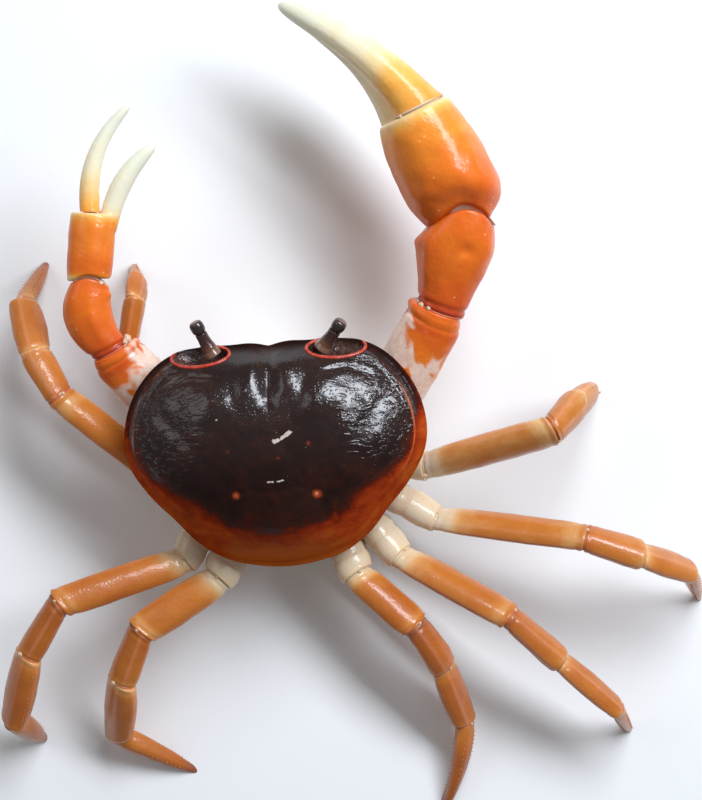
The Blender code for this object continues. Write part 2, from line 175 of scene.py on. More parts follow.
# Walking legs: the hip; the twist in degrees; the size of each segment against the half sizes
# above; and each segment's length, heading and pitch in degrees.
WALKING_LEGS = {
    "right_leg_1": (
        (-10.0, 0.0, 8.4), -40, (1.06, 1.16, 1.2, 1.2, 1.15),
        ((10.5, 159.5, 9), (18.6, -167, 18.5), (5.4, -138, -35),
         (4.9, -158, -65.5), (8.4, -170, -79)),
    ),
    "right_leg_2": (
        (-10.2, 4.4, 8.4), 40, (0.93, 0.95, 1.05, 1.0, 0.95),
        ((12.5, 148, 7), (20.9, 170.5, 17), (7.9, 158, -10), (8.9, 155, -33), (11.1, 111, -61.5)),
    ),
    "right_leg_3": (
        (-9.9, 8.6, 8.4), 35, (1.0, 1.05, 0.95, 0.88, 1.0),
        ((9.2, 127.5, 10), (17.3, 149, 16.5), (9.6, 133.5, -14.5),
         (10.9, 134.5, -16.5), (10.6, 113.5, -61.5)),
    ),
    "right_leg_4": (
        (-7.2, 11.6, 8.4), 60, (1.05, 1.02, 0.95, 0.98, 1.1),
        ((6.9, 108.6, 15), (10.5, 136, 13), (8.1, 118, -26),
         (10.3, 105.5, -29.5), (12.3, 73, -18)),
    ),
    "left_leg_1": (
        (10.0, -0.2, 6.6), 0, (0.9, 0.9, 0.9, 0.9, 0.9),
        ((3.8, -15, -15), (16.2, -65, 8), (6.2, -104, 2), (3.6, -95, -42), (6.2, -62, -67)),
    ),
    "left_leg_2": (
        (10.2, 4.2, 8.4), -55, (0.95, 0.95, 0.95, 0.95, 1.05),
        ((5.5, -6, 5), (19.6, -44.5, 19.5), (7, -60.5, -17),
         (8.8, -74.5, -31.5), (10.3, -108, -58)),
    ),
    "left_leg_3": (
        (10.2, 7.9, 8.4), -70, (0.95, 0.97, 0.9, 1.2, 1.3),
        ((7.9, 56.5, 11), (18, 14.5, 16), (8.8, 54, -13.5), (10.6, 70, -18.5), (10.5, 114, -63)),
    ),
    "left_leg_4": (
        (6.9, 11.9, 8.4), -78, (1.05, 1.05, 0.97, 1.22, 1.1),
        ((6.35, 60.2, 16), (12.6, 30, 11), (8.2, 63.5, -17.5),
         (10.6, 77, -33.5), (11.2, 146.5, -21.5)),
    ),
}
# How far the middle of a segment bends out across its leg.
LEG_BENDS = {"right_leg_4_carpus": 0.5, "right_leg_4_dactyl": 0.9}
# Surface forms of a walking leg's segments. Swell is the thickness along the segment. Tones run
# from cream, 0, by orange, 0.5, to dark, 1. A keel has angle, half-width and height, and a ring
# has place along the segment, half-width and height.
LEG_FORMS = {
    "base": {
        "swell": (0.85, 0.95, 1.05, 1.05, 0.95),
        "tones": (0.02, 0.0, 0.06, 0.02, 0.05, 0.08, 0.04, 0.06, 0.16),
        "keels": ((1.57, 0.5, 0.06),),
        "rings": ((0.3, 0.05, -0.16), (0.62, 0.04, -0.14), (0.46, 0.1, 0.08), (0.82, 0.08, 0.06)),
    },
    "merus": {
        "swell": (0.87, 0.97, 1.0, 1.0, 0.96),
        "tones": (0.1, 0.17, 0.38, 0.46, 0.5, 0.52, 0.53, 0.53, 0.53, 0.52, 0.49, 0.38, 0.5),
        "keels": (
            (1.57, 0.22, 0.14),
            (-1.1, 0.2, 0.1),
            (-2.1, 0.2, 0.1),
            (0.0, 0.7, -0.1),
            (3.14, 0.7, -0.1),
        ),
        "rings": ((0.05, 0.02, -0.08), (0.95, 0.015, -0.07), (0.985, 0.015, 0.08)),
    },
    "carpus": {
        "swell": (0.94, 0.96, 1.0, 1.05, 1.0),
        "tones": (0.68, 0.6, 0.57, 0.56, 0.55, 0.54, 0.53, 0.5, 0.42),
        "keels": ((1.57, 0.22, 0.12), (0.5, 0.2, 0.08), (2.6, 0.2, 0.08)),
        "rings": ((0.08, 0.03, -0.08), (0.94, 0.03, 0.05)),
    },
    "propodus": {
        "swell": (0.93, 1.0, 1.05, 1.0, 0.9),
        "tones": (0.3, 0.46, 0.53, 0.55, 0.56, 0.56, 0.56, 0.55, 0.52, 0.44),
        "keels": ((1.57, 0.22, 0.12), (-1.57, 0.25, 0.1), (0.35, 0.2, 0.07), (2.8, 0.2, 0.07)),
        "rings": ((0.07, 0.03, -0.07), (0.95, 0.03, 0.05)),
    },
    "dactyl": {
        "swell": (0.97, 0.95, 0.85, 0.68, 0.42),
        "tones": (0.42, 0.5, 0.56, 0.6, 0.63, 0.67, 0.74, 0.84),
        "keels": ((1.57, 0.25, 0.06), (0.0, 0.3, -0.08), (3.14, 0.3, -0.08)),
        "rings": ((0.08, 0.03, -0.05),),
    },
}
# Rows of spines: the angles that they run at round the segment, and the spines' length.
SPINE_ROWS = {"propodus": ((1.3, 1.85, -1.35), 0.18), "dactyl": ((0.75, 2.4, -0.75, -2.4), 0.34)}
SPINE_SPACING = 0.8
SPINE_HALF_WIDTH = 0.08
# No spine stands lower than this, so that the leg's tip alone meets the floor.
LOWEST_SPINE = 0.9
# How much deeper, or paler where negative, the amber of a leg is than the rest: the deeper
# legs carry their own colour, while the paler foremost right legs are painted light, lighter
# for the light that falls on them.
LEG_TONE_AND_LIGHT = {
    "right_leg_1": -0.07,
    "right_leg_2": -0.02,
    "right_leg_3": 0.03,
    "right_leg_4": 0.11,
    "left_leg_3": 0.08,
    "left_leg_4": 0.03,
}

# The claws: half sizes are across and through each segment; bites are the angles that the teeth
# of the finger and the pollex stand at. End and start lobes have angle, half-width and reach; a
# knob has place, angle, length, half-width and height; a condyle has angle, reach out, reach
# ahead and size.
RIGHT_CLAW = {
    "hip": (-10.4, -5.0, 8.6),
    "joints": (
        (-15.3, -5.7, 11.0),
        (-23.2, -17.6, 16.0),
        (-27.1, -30.0, 18.5),
        (-21.3, -43.8, 20.0),
    ),
    "half_sizes": ((3.0, 2.6), (4.0, 3.4), (5.1, 4.6), (6.1, 7.2)),
    "roll": 20,
    "finger": ((-22.1, -44.0, 22.6), (-15.8, -53.2, 24.0), (-4.6, -59.1, 18.5)),
    "finger_half_sizes": (3.3, 3.1),
    "pollex": ((-21.0, -40.0, 15.5), (-17.2, -52.9, 13.2), (-6.4, -58.0, 16.4)),
    "pollex_half_sizes": (3.4, 3.6),
    "finger_bite": math.pi,
    "pollex_bite": 0.0,
    "teeth": 1.0,
    "flare": 0.12,
    "finger_swell": (1.0, 0.8, 0.67, 0.57, 0.4),
    "pollex_swell": (1.0, 0.8, 0.67, 0.57, 0.4),
    "finger_tones": (0.5, 0.44, 0.38, 0.28, 0.2, 0.15, 0.12, 0.08, 0.05, 0.02),
    "pollex_tones": (0.3, 0.24, 0.18, 0.14, 0.12, 0.1, 0.06, 0.03, 0.0),
    "voxel": 0.2,
    "medial": -1.57,
    "forms": {
        "merus": {
            "swell": (0.85, 1.0, 1.02, 1.0, 0.97),
            "knobs": ((1.0, 1.57, 0.1, 0.8, -1.0), (0.97, -1.57, 0.05, 0.7, 0.4)),
        },
        "carpus": {
            "swell": (0.66, 0.74, 0.9, 1.0, 0.9),
            "end_lobes": ((0.0, 0.8, 1.1), (1.57, 0.8, -2.8), (-1.57, 0.8, -1.6), (3.14, 1.0, 0.6)),
            "knobs": (
                (0.85, -1.45, 0.1, 0.55, 0.5),
                (0.63, 0.35, 0.06, 0.2, -0.35),
                (0.5, -0.75, 0.3, 0.2, 0.3),
                (0.7, 0.95, 0.2, 0.3, 0.25),
            ),
        },
        "palm": {
            "swell": (0.88, 1.0, 1.0, 0.95, 0.86),
            "start_lobes": (
                (-0.35, 0.8, 2.0),
                (1.22, 0.8, -2.5),
                (-1.92, 0.8, -1.9),
                (2.8, 1.0, 0.6),
            ),
            "end_lobes": ((1.57, 0.9, -0.4),),
            "knobs": (
                (0.0, -0.35, 0.14, 0.8, -1.2),
                (0.0, 2.8, 0.14, 1.0, -2.0),
                (0.0, 1.25, 0.19, 0.9, -3.2),
                (1.0, 1.3, 0.13, 0.8, -0.4),
                (1.0, -1.8, 0.12, 0.7, -0.3),
            ),
        },
    },
    "condyles": {
        "carpus": ((-0.9, 0.98, 0.0, 0.42), (-0.5, 0.97, 0.15, 0.3), (-1.3, 0.95, 0.0, 0.36)),
        "palm": ((-0.02, 1.06, 0.55, 0.42), (0.1, 1.04, 0.5, 0.36), (-0.2, 1.02, 0.9, 0.22)),
        "finger": ((-1.2, 0.95, -0.1, 0.3), (1.1, 0.93, -0.1, 0.26)),
    },
    "wrist_wave": ((0.0, 0.8, 1.6), (1.57, 0.8, -2.3), (-1.57, 0.8, -1.6)),
}
LEFT_CLAW = {
    "hip": (10.4, -5.0, 8.6),
    "joints": ((14.8, -6.6, 10.9), (21.5, -15.1, 15.2), (23.5, -24.7, 17.0), (22.25, -33.6, 17.2)),
    "half_sizes": ((2.4, 2.1), (3.8, 2.6), (3.8, 3.0), (3.1, 2.7)),
    "roll": 0,
    "finger": ((22.6, -33.9, 17.3), (22.9, -42.2, 17.6), (16.3, -47.5, 17.2)),
    "finger_half_sizes": (1.35, 1.35),
    "pollex": ((20.5, -31.0, 17.1), (19.0, -38.2, 17.2), (13.3, -42.0, 17.0)),
    "pollex_half_sizes": (1.45, 1.4),
    "finger_bite": 1.57,
    "pollex_bite": -1.57,
    "teeth": 0.35,
    "flare": 0.0,
    "finger_swell": (1.0, 0.95, 0.8, 0.62, 0.5),
    "pollex_swell": (0.85, 0.92, 0.92, 0.76, 0.55),
    "finger_tones": (0.5, 0.42, 0.28, 0.14, 0.1, 0.07, 0.05, 0.02, 0.0),
    "pollex_tones": (0.3, 0.18, 0.12, 0.08, 0.06, 0.04, 0.02, 0.0),
    "voxel": 0.13,
    "medial": 1.57,
    "forms": {
        "merus": {
            "swell": (0.85, 1.0, 1.02, 0.98, 0.95),
            "knobs": ((1.0, -1.57, 0.12, 0.8, -0.8), (0.97, 1.57, 0.05, 0.7, 0.1)),
        },
        "carpus": {
            "swell": (0.68, 0.78, 0.86, 0.82, 0.64),
            "end_lobes": ((0.0, 0.8, 0.5), (1.57, 0.9, -1.1)),
            "knobs": ((0.85, 1.4, 0.07, 0.4, 0.3), (0.5, 0.25, 0.3, 0.22, 0.22)),
            "bow": -1.6,
        },
        "palm": {
            "swell": (0.94, 1.0, 1.0, 1.0, 0.96),
            "start_lobes": ((0.0, 0.8, 0.9), (1.57, 0.9, -0.2)),
            "knobs": ((0.5, 0.15, 0.5, 0.25, 0.15),),
            "tones": (0.25, 0.6, 0.65, 0.63, 0.61, 0.6, 0.59, 0.58, 0.57, 0.56, 0.47),
        },
    },
    "condyles": {
        "carpus": ((1.45, 1.05, 0.4, 0.6), (1.15, 1.0, 0.3, 0.4), (1.0, 0.98, -0.1, 0.24)),
        "palm": ((-0.9, 0.95, 0.1, 0.26), (0.9, 0.98, -0.3, 0.34)),
        "finger": ((0.3, 1.0, 0.0, 0.2), (1.3, 1.0, 0.1, 0.22)),
    },
    "wrist_wave": ((0.0, 0.8, 0.7), (1.57, 0.9, -0.65)),
}
CLAWS = {"right_claw": RIGHT_CLAW, "left_claw": LEFT_CLAW}
# Tones of the claws run from greenish ivory, 0, by cream and orange, 0.5, to deep red, 1.
CLAW_FORMS = {
    "base": {
        "swell": (0.9, 1.0, 1.0, 1.0, 1.0),
        "tones": (0.2, 0.2, 0.22, 0.25, 0.3),
        "rings": ((0.4, 0.05, -0.2),),
    },
    "merus": {
        "swell": (0.85, 1.0, 1.02, 1.0, 1.0),
        "tones": (0.36, 0.5, 0.56, 0.6, 0.6, 0.58, 0.58, 0.6, 0.62, 0.66, 0.76, 0.66, 0.72),
        "keels": ((0.1, 0.3, 0.1), (2.3, 0.3, 0.12), (-2.3, 0.3, 0.12)),
        "rings": ((0.88, 0.02, -0.12), (0.94, 0.02, 0.06)),
    },
    "carpus": {
        "tones": (0.98, 0.78, 0.72, 0.69, 0.67, 0.65, 0.64, 0.64, 0.66, 0.7),
        "rings": ((0.07, 0.03, -0.2),),
    },
    "palm": {
        "tones": (0.72, 0.68, 0.65, 0.63, 0.61, 0.59, 0.57, 0.55, 0.53, 0.5, 0.34),
    },
}
PALM_SPOT = Vector((-28.5, -35.0, 23.0))
PALM_SPOT_REACH = 0.75
# Teeth of the fingers: how many, where the first lies, how far apart, and each one's reach.
TEETH = 9
FIRST_TOOTH = 0.16
TOOTH_SPACING = 0.085
TOOTH_LENGTH = 0.026
TOOTH_WIDTH = 0.38
# Grooves run along the fingers at these angles from the bite.
FINGER_GROOVES = (1.0, -1.0, 2.1, -2.1)
# The pollex is matched to the palm by its nearest point out of this many steps.
POLLEX_STEPS = 30

# The view looks down on the back, a little from the front right, from about a forearm away.
VIEW_PLACE = Vector((-25.934, -16.598, 312.984))
VIEW_TILT_RIGHT = math.radians(3)
VIEW_TILT_FRONT = math.radians(2)
VIEW_ROLL = math.radians(4)
VIEW_LENS = 100


def along(values, t):
    """The smooth curve through evenly spaced values, read at t from 0 to 1."""
    span = len(values) - 1
    place = min(max(t, 0.0), 1.0) * span
    i = min(int(place), span - 1)
    f = place - i
    before = values[max(i - 1, 0)]
    start = values[i]
    end = values[i + 1]
    after = values[min(i + 2, span)]
    return start + 0.5 * f * (
        end - before
        + f * (2 * before - 5 * start + 4 * end - after + f * (3 * (start - end) + after - before))
    )


def eased(low, high, value):
    """0 below low, 1 above high and a soft step between them."""
    t = min(max((value - low) / (high - low), 0.0), 1.0)
    return t * t * (3 - 2 * t)


def hump(offset, width):
    return math.exp(-((offset / width) ** 2))


def turned(angle):
    return math.remainder(angle, 2 * math.pi)


def direction(heading, pitch):
    heading, pitch = math.radians(heading), math.radians(pitch)
    level = math.cos(pitch)
    return Vector((level * math.cos(heading), level * math.sin(heading), math.sin(pitch)))


def mirrored(point, side):
    return Vector((point[0] * side, point[1], point[2]))


def square_to(way, across):
    """The direction nearest to across that is square to a way, and the one square to both."""
    thick = (across - way * across.dot(way)).normalized()
    return thick, way.cross(thick)


def oval(centre, axes, half_sizes, angle, size=1.0, rise=0.0):
    """A place on a limb's skin: on an oval round its middle line, scaled and then raised."""
    return (
        centre
        + axes[0] * (math.cos(angle) * (half_sizes[1] * size + rise))
        + axes[1] * (math.sin(angle) * (half_sizes[0] * size + rise))
    )


def limb_place(ball_place, gather=0.0):
    """Where a place on a ball falls on a limb: along it, drawn to its ends, and round it."""
    x, y, z = ball_place
    s = 1 - math.acos(max(-1.0, min(1.0, z))) / math.pi
    return s - gather * math.sin(FULL_TURN * s) / FULL_TURN, math.atan2(y, x)


def bend(points, t):
    """A point on the curve from the first point to the last, drawn towards the middle one."""
    first, middle, last = points
    return first.lerp(middle, t).lerp(middle.lerp(last, t), t)


def to_plane(point, way, plane):
    """Slides a point along a direction until it lies in a plane."""
    place, normal = plane
    return point + way * ((place - point).dot(normal) / way.dot(normal))


def ways_along(points):
    return [(b - a).normalized() for a, b in zip(points, points[1:])]


def joint_planes(points, gap):
    """For each segment of a limb, its start plane and its end plane, half the gap inside both."""
    ways = ways_along(points)
    normals = [ways[0]]
    normals += [(a + b).normalized() for a, b in zip(ways, ways[1:])]
    normals.append(ways[-1])
    planes = []
    for i in range(len(ways)):
        start = (points[i] + normals[i] * (gap / 2), normals[i])
        end = (points[i + 1] - normals[i + 1] * (gap / 2), normals[i + 1])
        planes.append((start, end))
    return planes


def uneven(point, size, seed):
    """Smooth unevenness from -1 to 1 whose bumps are about this size."""
    return noise.noise(Vector(point) / size + Vector((seed, 2.7 * seed, -1.3 * seed)))


# Finishes.


# The range that most clouds stay in, and how light is carried in the shell: reach in
# millimetres, and share of it for red, green and blue.
CLOUD_LOW = 0.3
CLOUD_HIGH = 0.7
GLOW_REACH = 0.9
GLOW_SHARES = (1.0, 0.35, 0.12)


class Finish:
    """A procedural surface being put together: its shader, and short ways to feed it."""

    def __init__(self, name):
        self.material = bpy.data.materials.new(name)
        self.material.use_nodes = True
        self.tree = self.material.node_tree
        self.place = self.node("TexCoord", {}, "Object")

    def feed(self, socket, value):
        if isinstance(value, bpy.types.NodeSocket):
            self.tree.links.new(value, socket)
        else:
            socket.default_value = value

    def node(self, kind, inputs, output, **settings):
        """Adds a node with these settings and inputs, and gives one of its outputs."""
        made = self.tree.nodes.new("ShaderNode" + kind)
        for name, value in settings.items():
            setattr(made, name, value)
        for name, value in inputs.items():
            self.feed(made.inputs[name], value)
        return made.outputs[output]

    def stretched(self, turn, scale):
        """Places turned about the vertical and stretched, for a grain that runs one way."""
        turned_by = (0.0, 0.0, math.radians(turn))
        inputs = {"Vector": self.place, "Rotation": turned_by, "Scale": scale}
        return self.node("Mapping", inputs, "Vector")

    def clouds(self, size, detail=2.0, roughness=0.5, warp=0.0, place=None):
        """Soft unevenness with features of about this many millimetres."""
        inputs = {"Vector": place or self.place, "Scale": 1 / (size * MM), "Detail": detail}
        inputs |= {"Roughness": roughness, "Distortion": warp}
        return self.node("TexNoise", inputs, "Fac")

    def grains(self, size):
        """Distance from scattered points that lie about this many millimetres apart."""
        return self.node("TexVoronoi", {"Vector": self.place, "Scale": 1 / (size * MM)}, "Distance")

    def layer(self, name):
        """A value painted on the mesh."""
        return self.node("Attribute", {}, "Fac", attribute_name=name)

    def span(self, value, low, high, to_low=0.0, to_high=1.0):
        """A soft step: to_low where the value is low, to_high where it is high."""
        inputs = {"Value": value, "From Min": low, "From Max": high}
        inputs |= {"To Min": to_low, "To Max": to_high}
        return self.node("MapRange", inputs, "Result", interpolation_type="SMOOTHSTEP")

    def worn(self, clouds, low, high):
        """Clouds spread over a range, such as a roughness."""
        return self.span(clouds, CLOUD_LOW, CLOUD_HIGH, low, high)

    def worked(self, operation, *values):
        return self.node("Math", dict(enumerate(values)), 0, operation=operation)

    def times(self, first, second):
        return self.worked("MULTIPLY", first, second)

    def stirred(self, value, clouds, amount):
        """A value made uneven by clouds, whose middle is 0.5."""
        return self.worked("MULTIPLY_ADD", self.worked("SUBTRACT", clouds, 0.5), amount, value)

    def shades(self, value, *stops):
        """A colour scale: each stop is a place on it, then red, green and blue."""
        made = self.tree.nodes.new("ShaderNodeValToRGB")
        self.feed(made.inputs["Fac"], value)
        ramp = made.color_ramp
        while len(ramp.elements) < len(stops):
            ramp.elements.new(0.5)
        for element, (place, *colour) in zip(ramp.elements, stops):
            element.position = place
            element.color = (*colour, 1.0)
        return made.outputs["Color"]

    def blend(self, factor, under, over):
        """Lays a plain colour or a colour scale over another by this factor."""
        if isinstance(over, tuple):
            over = (*over, 1.0)
        return self.node("Mix", {0: factor, 6: under, 7: over}, 2, data_type="RGBA")

    def bump(self, height, depth, strength=1.0, under=None):
        """Relief this many millimetres deep, over an earlier relief if one is given."""
        inputs = {"Strength": strength, "Distance": depth * MM, "Height": height}
        if under is not None:
            inputs["Normal"] = under
        return self.node("Bump", inputs, "Normal")

    def done(self, colour, roughness, normal, coat=0.0, coat_roughness=0.1, glow=0.0, level=0.5):
        """Closes the finish: wet gloss is the coat and light carried in the shell is the glow."""
        inputs = {
            "Base Color": colour,
            "Roughness": roughness,
            "Normal": normal,
            "Coat Weight": coat,
            "Coat Normal": normal,
            "Coat Roughness": coat_roughness,
            "Specular IOR Level": level,
            "Subsurface Weight": glow,
            "Subsurface Radius": GLOW_SHARES,
            "Subsurface Scale": GLOW_REACH * MM,
        }
        for name, value in inputs.items():
            self.feed(self.tree.nodes["Principled BSDF"].inputs[name], value)
        return self.material


def carapace_finish():
    """Dark brown, reddening to orange at the sides and rear, granular and wet, with painted
    highlights in the pits and on the granules.
    """
    made = Finish("carapace_brown_shell")
    fine = made.clouds(1.1, 3.0, 0.6)
    granular = made.layer("granular")
    warm = made.stirred(made.layer("warm"), made.clouds(4.5, 4.0, 0.6, 0.8), 0.8)
    warm = made.stirred(warm, fine, 0.35)
    colour = made.shades(
        warm,
        (0.0, 0.015, 0.006, 0.005),
        (0.2, 0.03, 0.008, 0.005),
        (0.4, 0.07, 0.009, 0.0035),
        (0.58, 0.25, 0.024, 0.005),
        (0.8, 0.39, 0.05, 0.008),
        (1.0, 0.47, 0.095, 0.012),
    )
    patches = made.span(made.clouds(6.0, 3.0, 0.6), 0.45, 0.75, 0.0, 0.3)
    colour = made.blend(patches, colour, (0.04, 0.018, 0.012))
    line = made.span(made.worked("MULTIPLY_ADD", fine, 0.5, made.layer("line")), 0.6, 1.1)
    colour = made.blend(line, colour, (0.5, 0.09, 0.02))
    spots = made.stirred(made.layer("pit"), fine, 0.8)
    colour = made.blend(made.span(spots, 0.1, 1.0, 0.0, 0.85), colour, (0.42, 0.06, 0.012))
    # Painted highlight: a pale glint in the middle of each pit.
    colour = made.blend(made.span(spots, 0.9, 1.15), colour, (0.7, 0.36, 0.24))
    # Painted highlights: pale specks on the granules stand for the glints of the wet shell.
    some = made.times(made.span(made.clouds(4.0), 0.48, 0.6), granular)
    painted_glint_specks = made.times(made.span(made.grains(1.1), 0.05, 0.1, 0.3, 0.0), some)
    colour = made.blend(painted_glint_specks, colour, (0.4, 0.3, 0.26))
    mark = made.stirred(made.layer("mark"), made.clouds(0.4, 4.0, 0.7, 0.6), 1.6)
    colour = made.blend(made.span(mark, 0.45, 0.85), colour, (0.55, 0.47, 0.4))
    roughness = made.span(made.clouds(2.6, 4.0, 0.65), 0.3, 0.75, 0.2, 0.42)
    relief = made.bump(made.clouds(3.4), 0.16, 0.3)
    hatch = made.clouds(0.6, 2.0, 0.5, 0.25, made.stretched(-28, (0.14, 1.0, 1.0)))
    streaks = made.times(made.span(hatch, 0.5, 0.7), made.layer("streaked"))
    relief = made.bump(streaks, 0.1, 0.8, relief)
    beads = made.times(made.span(made.grains(0.42), 0.05, 0.45, 1.0, 0.0), granular)
    relief = made.bump(beads, 0.04, 0.45, relief)
    relief = made.bump(made.clouds(0.2), 0.012, 0.5, relief)
    wet = made.times(made.span(warm, 0.25, 0.6, 0.95, 0.06), granular)
    return made.done(colour, roughness, relief, wet, 0.16, level=made.times(wet, 0.13))


def orbit_finish():
    """The wet, dark brown lining of the eye sockets."""
    made = Finish("orbit_lining")
    mottle = made.clouds(0.9, 3.0, 0.6)
    colour = made.shades(
        mottle, (0.3, 0.032, 0.014, 0.012), (0.55, 0.085, 0.034, 0.025), (0.75, 0.19, 0.08, 0.06)
    )
    relief = made.bump(made.clouds(0.5, 3.0), 0.2)
    return made.done(colour, made.worn(mottle, 0.15, 0.35), relief, 1.0, 0.05)


def rim_finish():
    """The red bead round the eye sockets, brown along its front."""
    made = Finish("orbit_rim_red")
    mottle = made.worked("MULTIPLY_ADD", made.layer("tone"), -0.6, made.clouds(0.8, 3.0, 0.6))
    colour = made.shades(
        mottle, (0.12, 0.03, 0.01, 0.008), (0.36, 0.36, 0.022, 0.01), (0.65, 0.58, 0.08, 0.04)
    )
    relief = made.bump(made.clouds(0.35, 3.0), 0.05, 0.6)
    return made.done(colour, made.worn(mottle, 0.26, 0.42), relief, 0.25, 0.1, 0.1, 0.35)


def leg_finish():
    """Amber shell that lets light in, cream at the joints and browner towards the tips, with a
    painted highlight along its upper keels.
    """
    made = Finish("leg_amber_shell")
    broad = made.clouds(3.4, 3.0, 0.6, 0.4)
    fine = made.clouds(0.5, 3.0, 0.65)
    colour = made.shades(
        made.stirred(made.stirred(made.layer("tone"), broad, 0.26), fine, 0.08),
        (0.0, 0.68, 0.56, 0.4),
        (0.16, 0.7, 0.52, 0.32),
        (0.32, 0.66, 0.34, 0.12),
        (0.5, 0.52, 0.165, 0.022),
        (0.66, 0.43, 0.11, 0.012),
        (0.82, 0.27, 0.08, 0.028),
        (1.0, 0.15, 0.022, 0.01),
    )
    # Painted highlight: pinkish white along the upper keels, where the light catches them.
    painted_keel_highlight = made.span(made.layer("keel_highlight"), 0.35, 0.95, 0.0, 0.3)
    colour = made.blend(made.times(painted_keel_highlight, fine), colour, (0.86, 0.42, 0.3))
    dots = made.span(made.grains(0.8), 0.07, 0.13, 0.4, 0.0)
    colour = made.blend(dots, colour, (0.34, 0.1, 0.03))
    relief = made.bump(broad, 0.25, 0.3)
    relief = made.bump(made.span(made.grains(0.36), 0.0, 0.6), 0.02, 0.5, relief)
    relief = made.bump(fine, 0.02, 0.5, relief)
    roughness = made.worn(made.clouds(1.3, 3.0, 0.6), 0.3, 0.48)
    return made.done(colour, roughness, relief, 0.5, 0.13, 0.22, 0.3)


def claw_finish():
    """Vivid orange claw shell, paler and mottled where the painted pale value is high."""
    made = Finish("claw_orange_shell")
    broad = made.clouds(5.0, 3.0, 0.6, 0.5)
    fine = made.clouds(0.7, 3.0, 0.65)
    colour = made.shades(
        made.stirred(made.stirred(made.layer("tone"), broad, 0.22), fine, 0.05),
        (0.0, 0.76, 0.77, 0.62),
        (0.12, 0.82, 0.75, 0.54),
        (0.26, 0.86, 0.66, 0.35),
        (0.4, 0.88, 0.43, 0.08),
        (0.52, 0.83, 0.25, 0.022),
        (0.64, 0.76, 0.15, 0.01),
        (0.78, 0.6, 0.08, 0.008),
        (1.0, 0.28, 0.014, 0.008),
    )
    veins = made.span(made.clouds(4.0, 2.0, 0.5, 0.6), 0.34, 0.66, -0.3, 0.3)
    pale = made.span(made.worked("ADD", made.layer("pale"), veins), 0.3, 0.62)
    flesh = made.shades(fine, (0.3, 0.78, 0.53, 0.41), (0.7, 0.9, 0.7, 0.58))
    colour = made.blend(pale, colour, flesh)
    dots = made.span(made.grains(2.1), 0.045, 0.075, 0.5, 0.0)
    colour = made.blend(dots, colour, (0.95, 0.6, 0.3))
    relief = made.bump(broad, 0.5, 0.35)
    relief = made.bump(made.span(made.grains(0.7), 0.0, 0.6), 0.03, 0.45, relief)
    relief = made.bump(made.clouds(1.1, 3.0, 0.6), 0.09, 0.35, relief)
    roughness = made.worn(made.clouds(2.5, 3.0, 0.6), 0.3, 0.48)
    return made.done(colour, roughness, relief, 0.36, 0.14, 0.15, 0.22)


def joint_finish():
    """Soft cream skin in the joints, 0, to dark red hinge lines, 1."""
    made = Finish("joint_membrane")
    fine = made.clouds(0.4, 3.0, 0.6)
    colour = made.shades(
        made.stirred(made.layer("tone"), fine, 0.2),
        (0.0, 0.7, 0.58, 0.46),
        (0.35, 0.66, 0.42, 0.25),
        (0.6, 0.6, 0.16, 0.06),
        (1.0, 0.3, 0.035, 0.02),
    )
    relief = made.bump(made.clouds(0.25, 2.0, 0.5, 0.5), 0.08, 0.6)
    return made.done(colour, made.worn(fine, 0.35, 0.55), relief, 0.3, 0.15, 0.25)


def underside_finish():
    """Cream belly shell with faint brown sutures."""
    made = Finish("underside_cream_shell")
    fine = made.clouds(0.5, 3.0, 0.65)
    colour = made.shades(
        made.clouds(3.0, 3.0, 0.6),
        (0.25, 0.66, 0.5, 0.33),
        (0.5, 0.76, 0.63, 0.46),
        (0.75, 0.82, 0.72, 0.57),
    )
    seam = made.span(made.layer("suture"), 0.2, 0.9, 0.0, 0.75)
    colour = made.blend(seam, colour, (0.36, 0.19, 0.1))
    relief = made.bump(made.span(made.grains(0.4), 0.0, 0.6), 0.03, 0.6)
    relief = made.bump(fine, 0.04, 0.5, relief)
    return made.done(colour, made.worn(fine, 0.34, 0.52), relief, 0.3, 0.15, 0.15)


def stalk_finish():
    """The eyestalk: pale at its foot, brown and glassy above."""
    made = Finish("eyestalk_brown")
    mottle = made.clouds(0.5, 3.0, 0.6, 0.5)
    colour = made.shades(
        made.stirred(made.layer("tone"), mottle, 0.5),
        (0.0, 0.2, 0.12, 0.09),
        (0.25, 0.15, 0.058, 0.03),
        (0.55, 0.05, 0.016, 0.01),
        (1.0, 0.02, 0.01, 0.009),
    )
    relief = made.bump(made.clouds(0.3, 3.0), 0.05, 0.6)
    return made.done(colour, made.worn(mottle, 0.16, 0.34), relief, 0.6, 0.05, 0.1)


def cornea_finish():
    """The eye's dark glossy cap, with its fine facets and a browner crown."""
    made = Finish("cornea_dark")
    mottle = made.clouds(0.45)
    colour = made.shades(
        made.stirred(made.layer("tone"), mottle, 0.3),
        (0.1, 0.045, 0.02, 0.014),
        (0.5, 0.022, 0.014, 0.013),
        (0.9, 0.1, 0.04, 0.022),
    )
    relief = made.bump(made.grains(0.07), 0.006, 0.8)
    return made.done(colour, made.worn(mottle, 0.12, 0.24), relief, 0.5, 0.04)


def spine_finish():
    """Horn-brown spines, mottled paler and darker."""
    made = Finish("spine_horn")
    mottle = made.clouds(0.5)
    colour = made.shades(
        mottle, (0.3, 0.34, 0.12, 0.035), (0.5, 0.46, 0.2, 0.07), (0.7, 0.58, 0.32, 0.15)
    )
    relief = made.bump(made.clouds(0.1), 0.01, 0.6)
    return made.done(colour, made.worn(mottle, 0.3, 0.5), relief, 0.2)


def floor_finish():
    """A plain pale studio floor."""
    made = Finish("pale_floor")
    broad = made.clouds(60.0)
    colour = made.shades(broad, (0.3, 0.86, 0.86, 0.86), (0.7, 0.9, 0.9, 0.9))
    relief = made.bump(made.clouds(1.5), 0.01, 0.2)
    return made.done(colour, made.worn(broad, 0.7, 0.85), relief, level=0.2)


# Shaping.


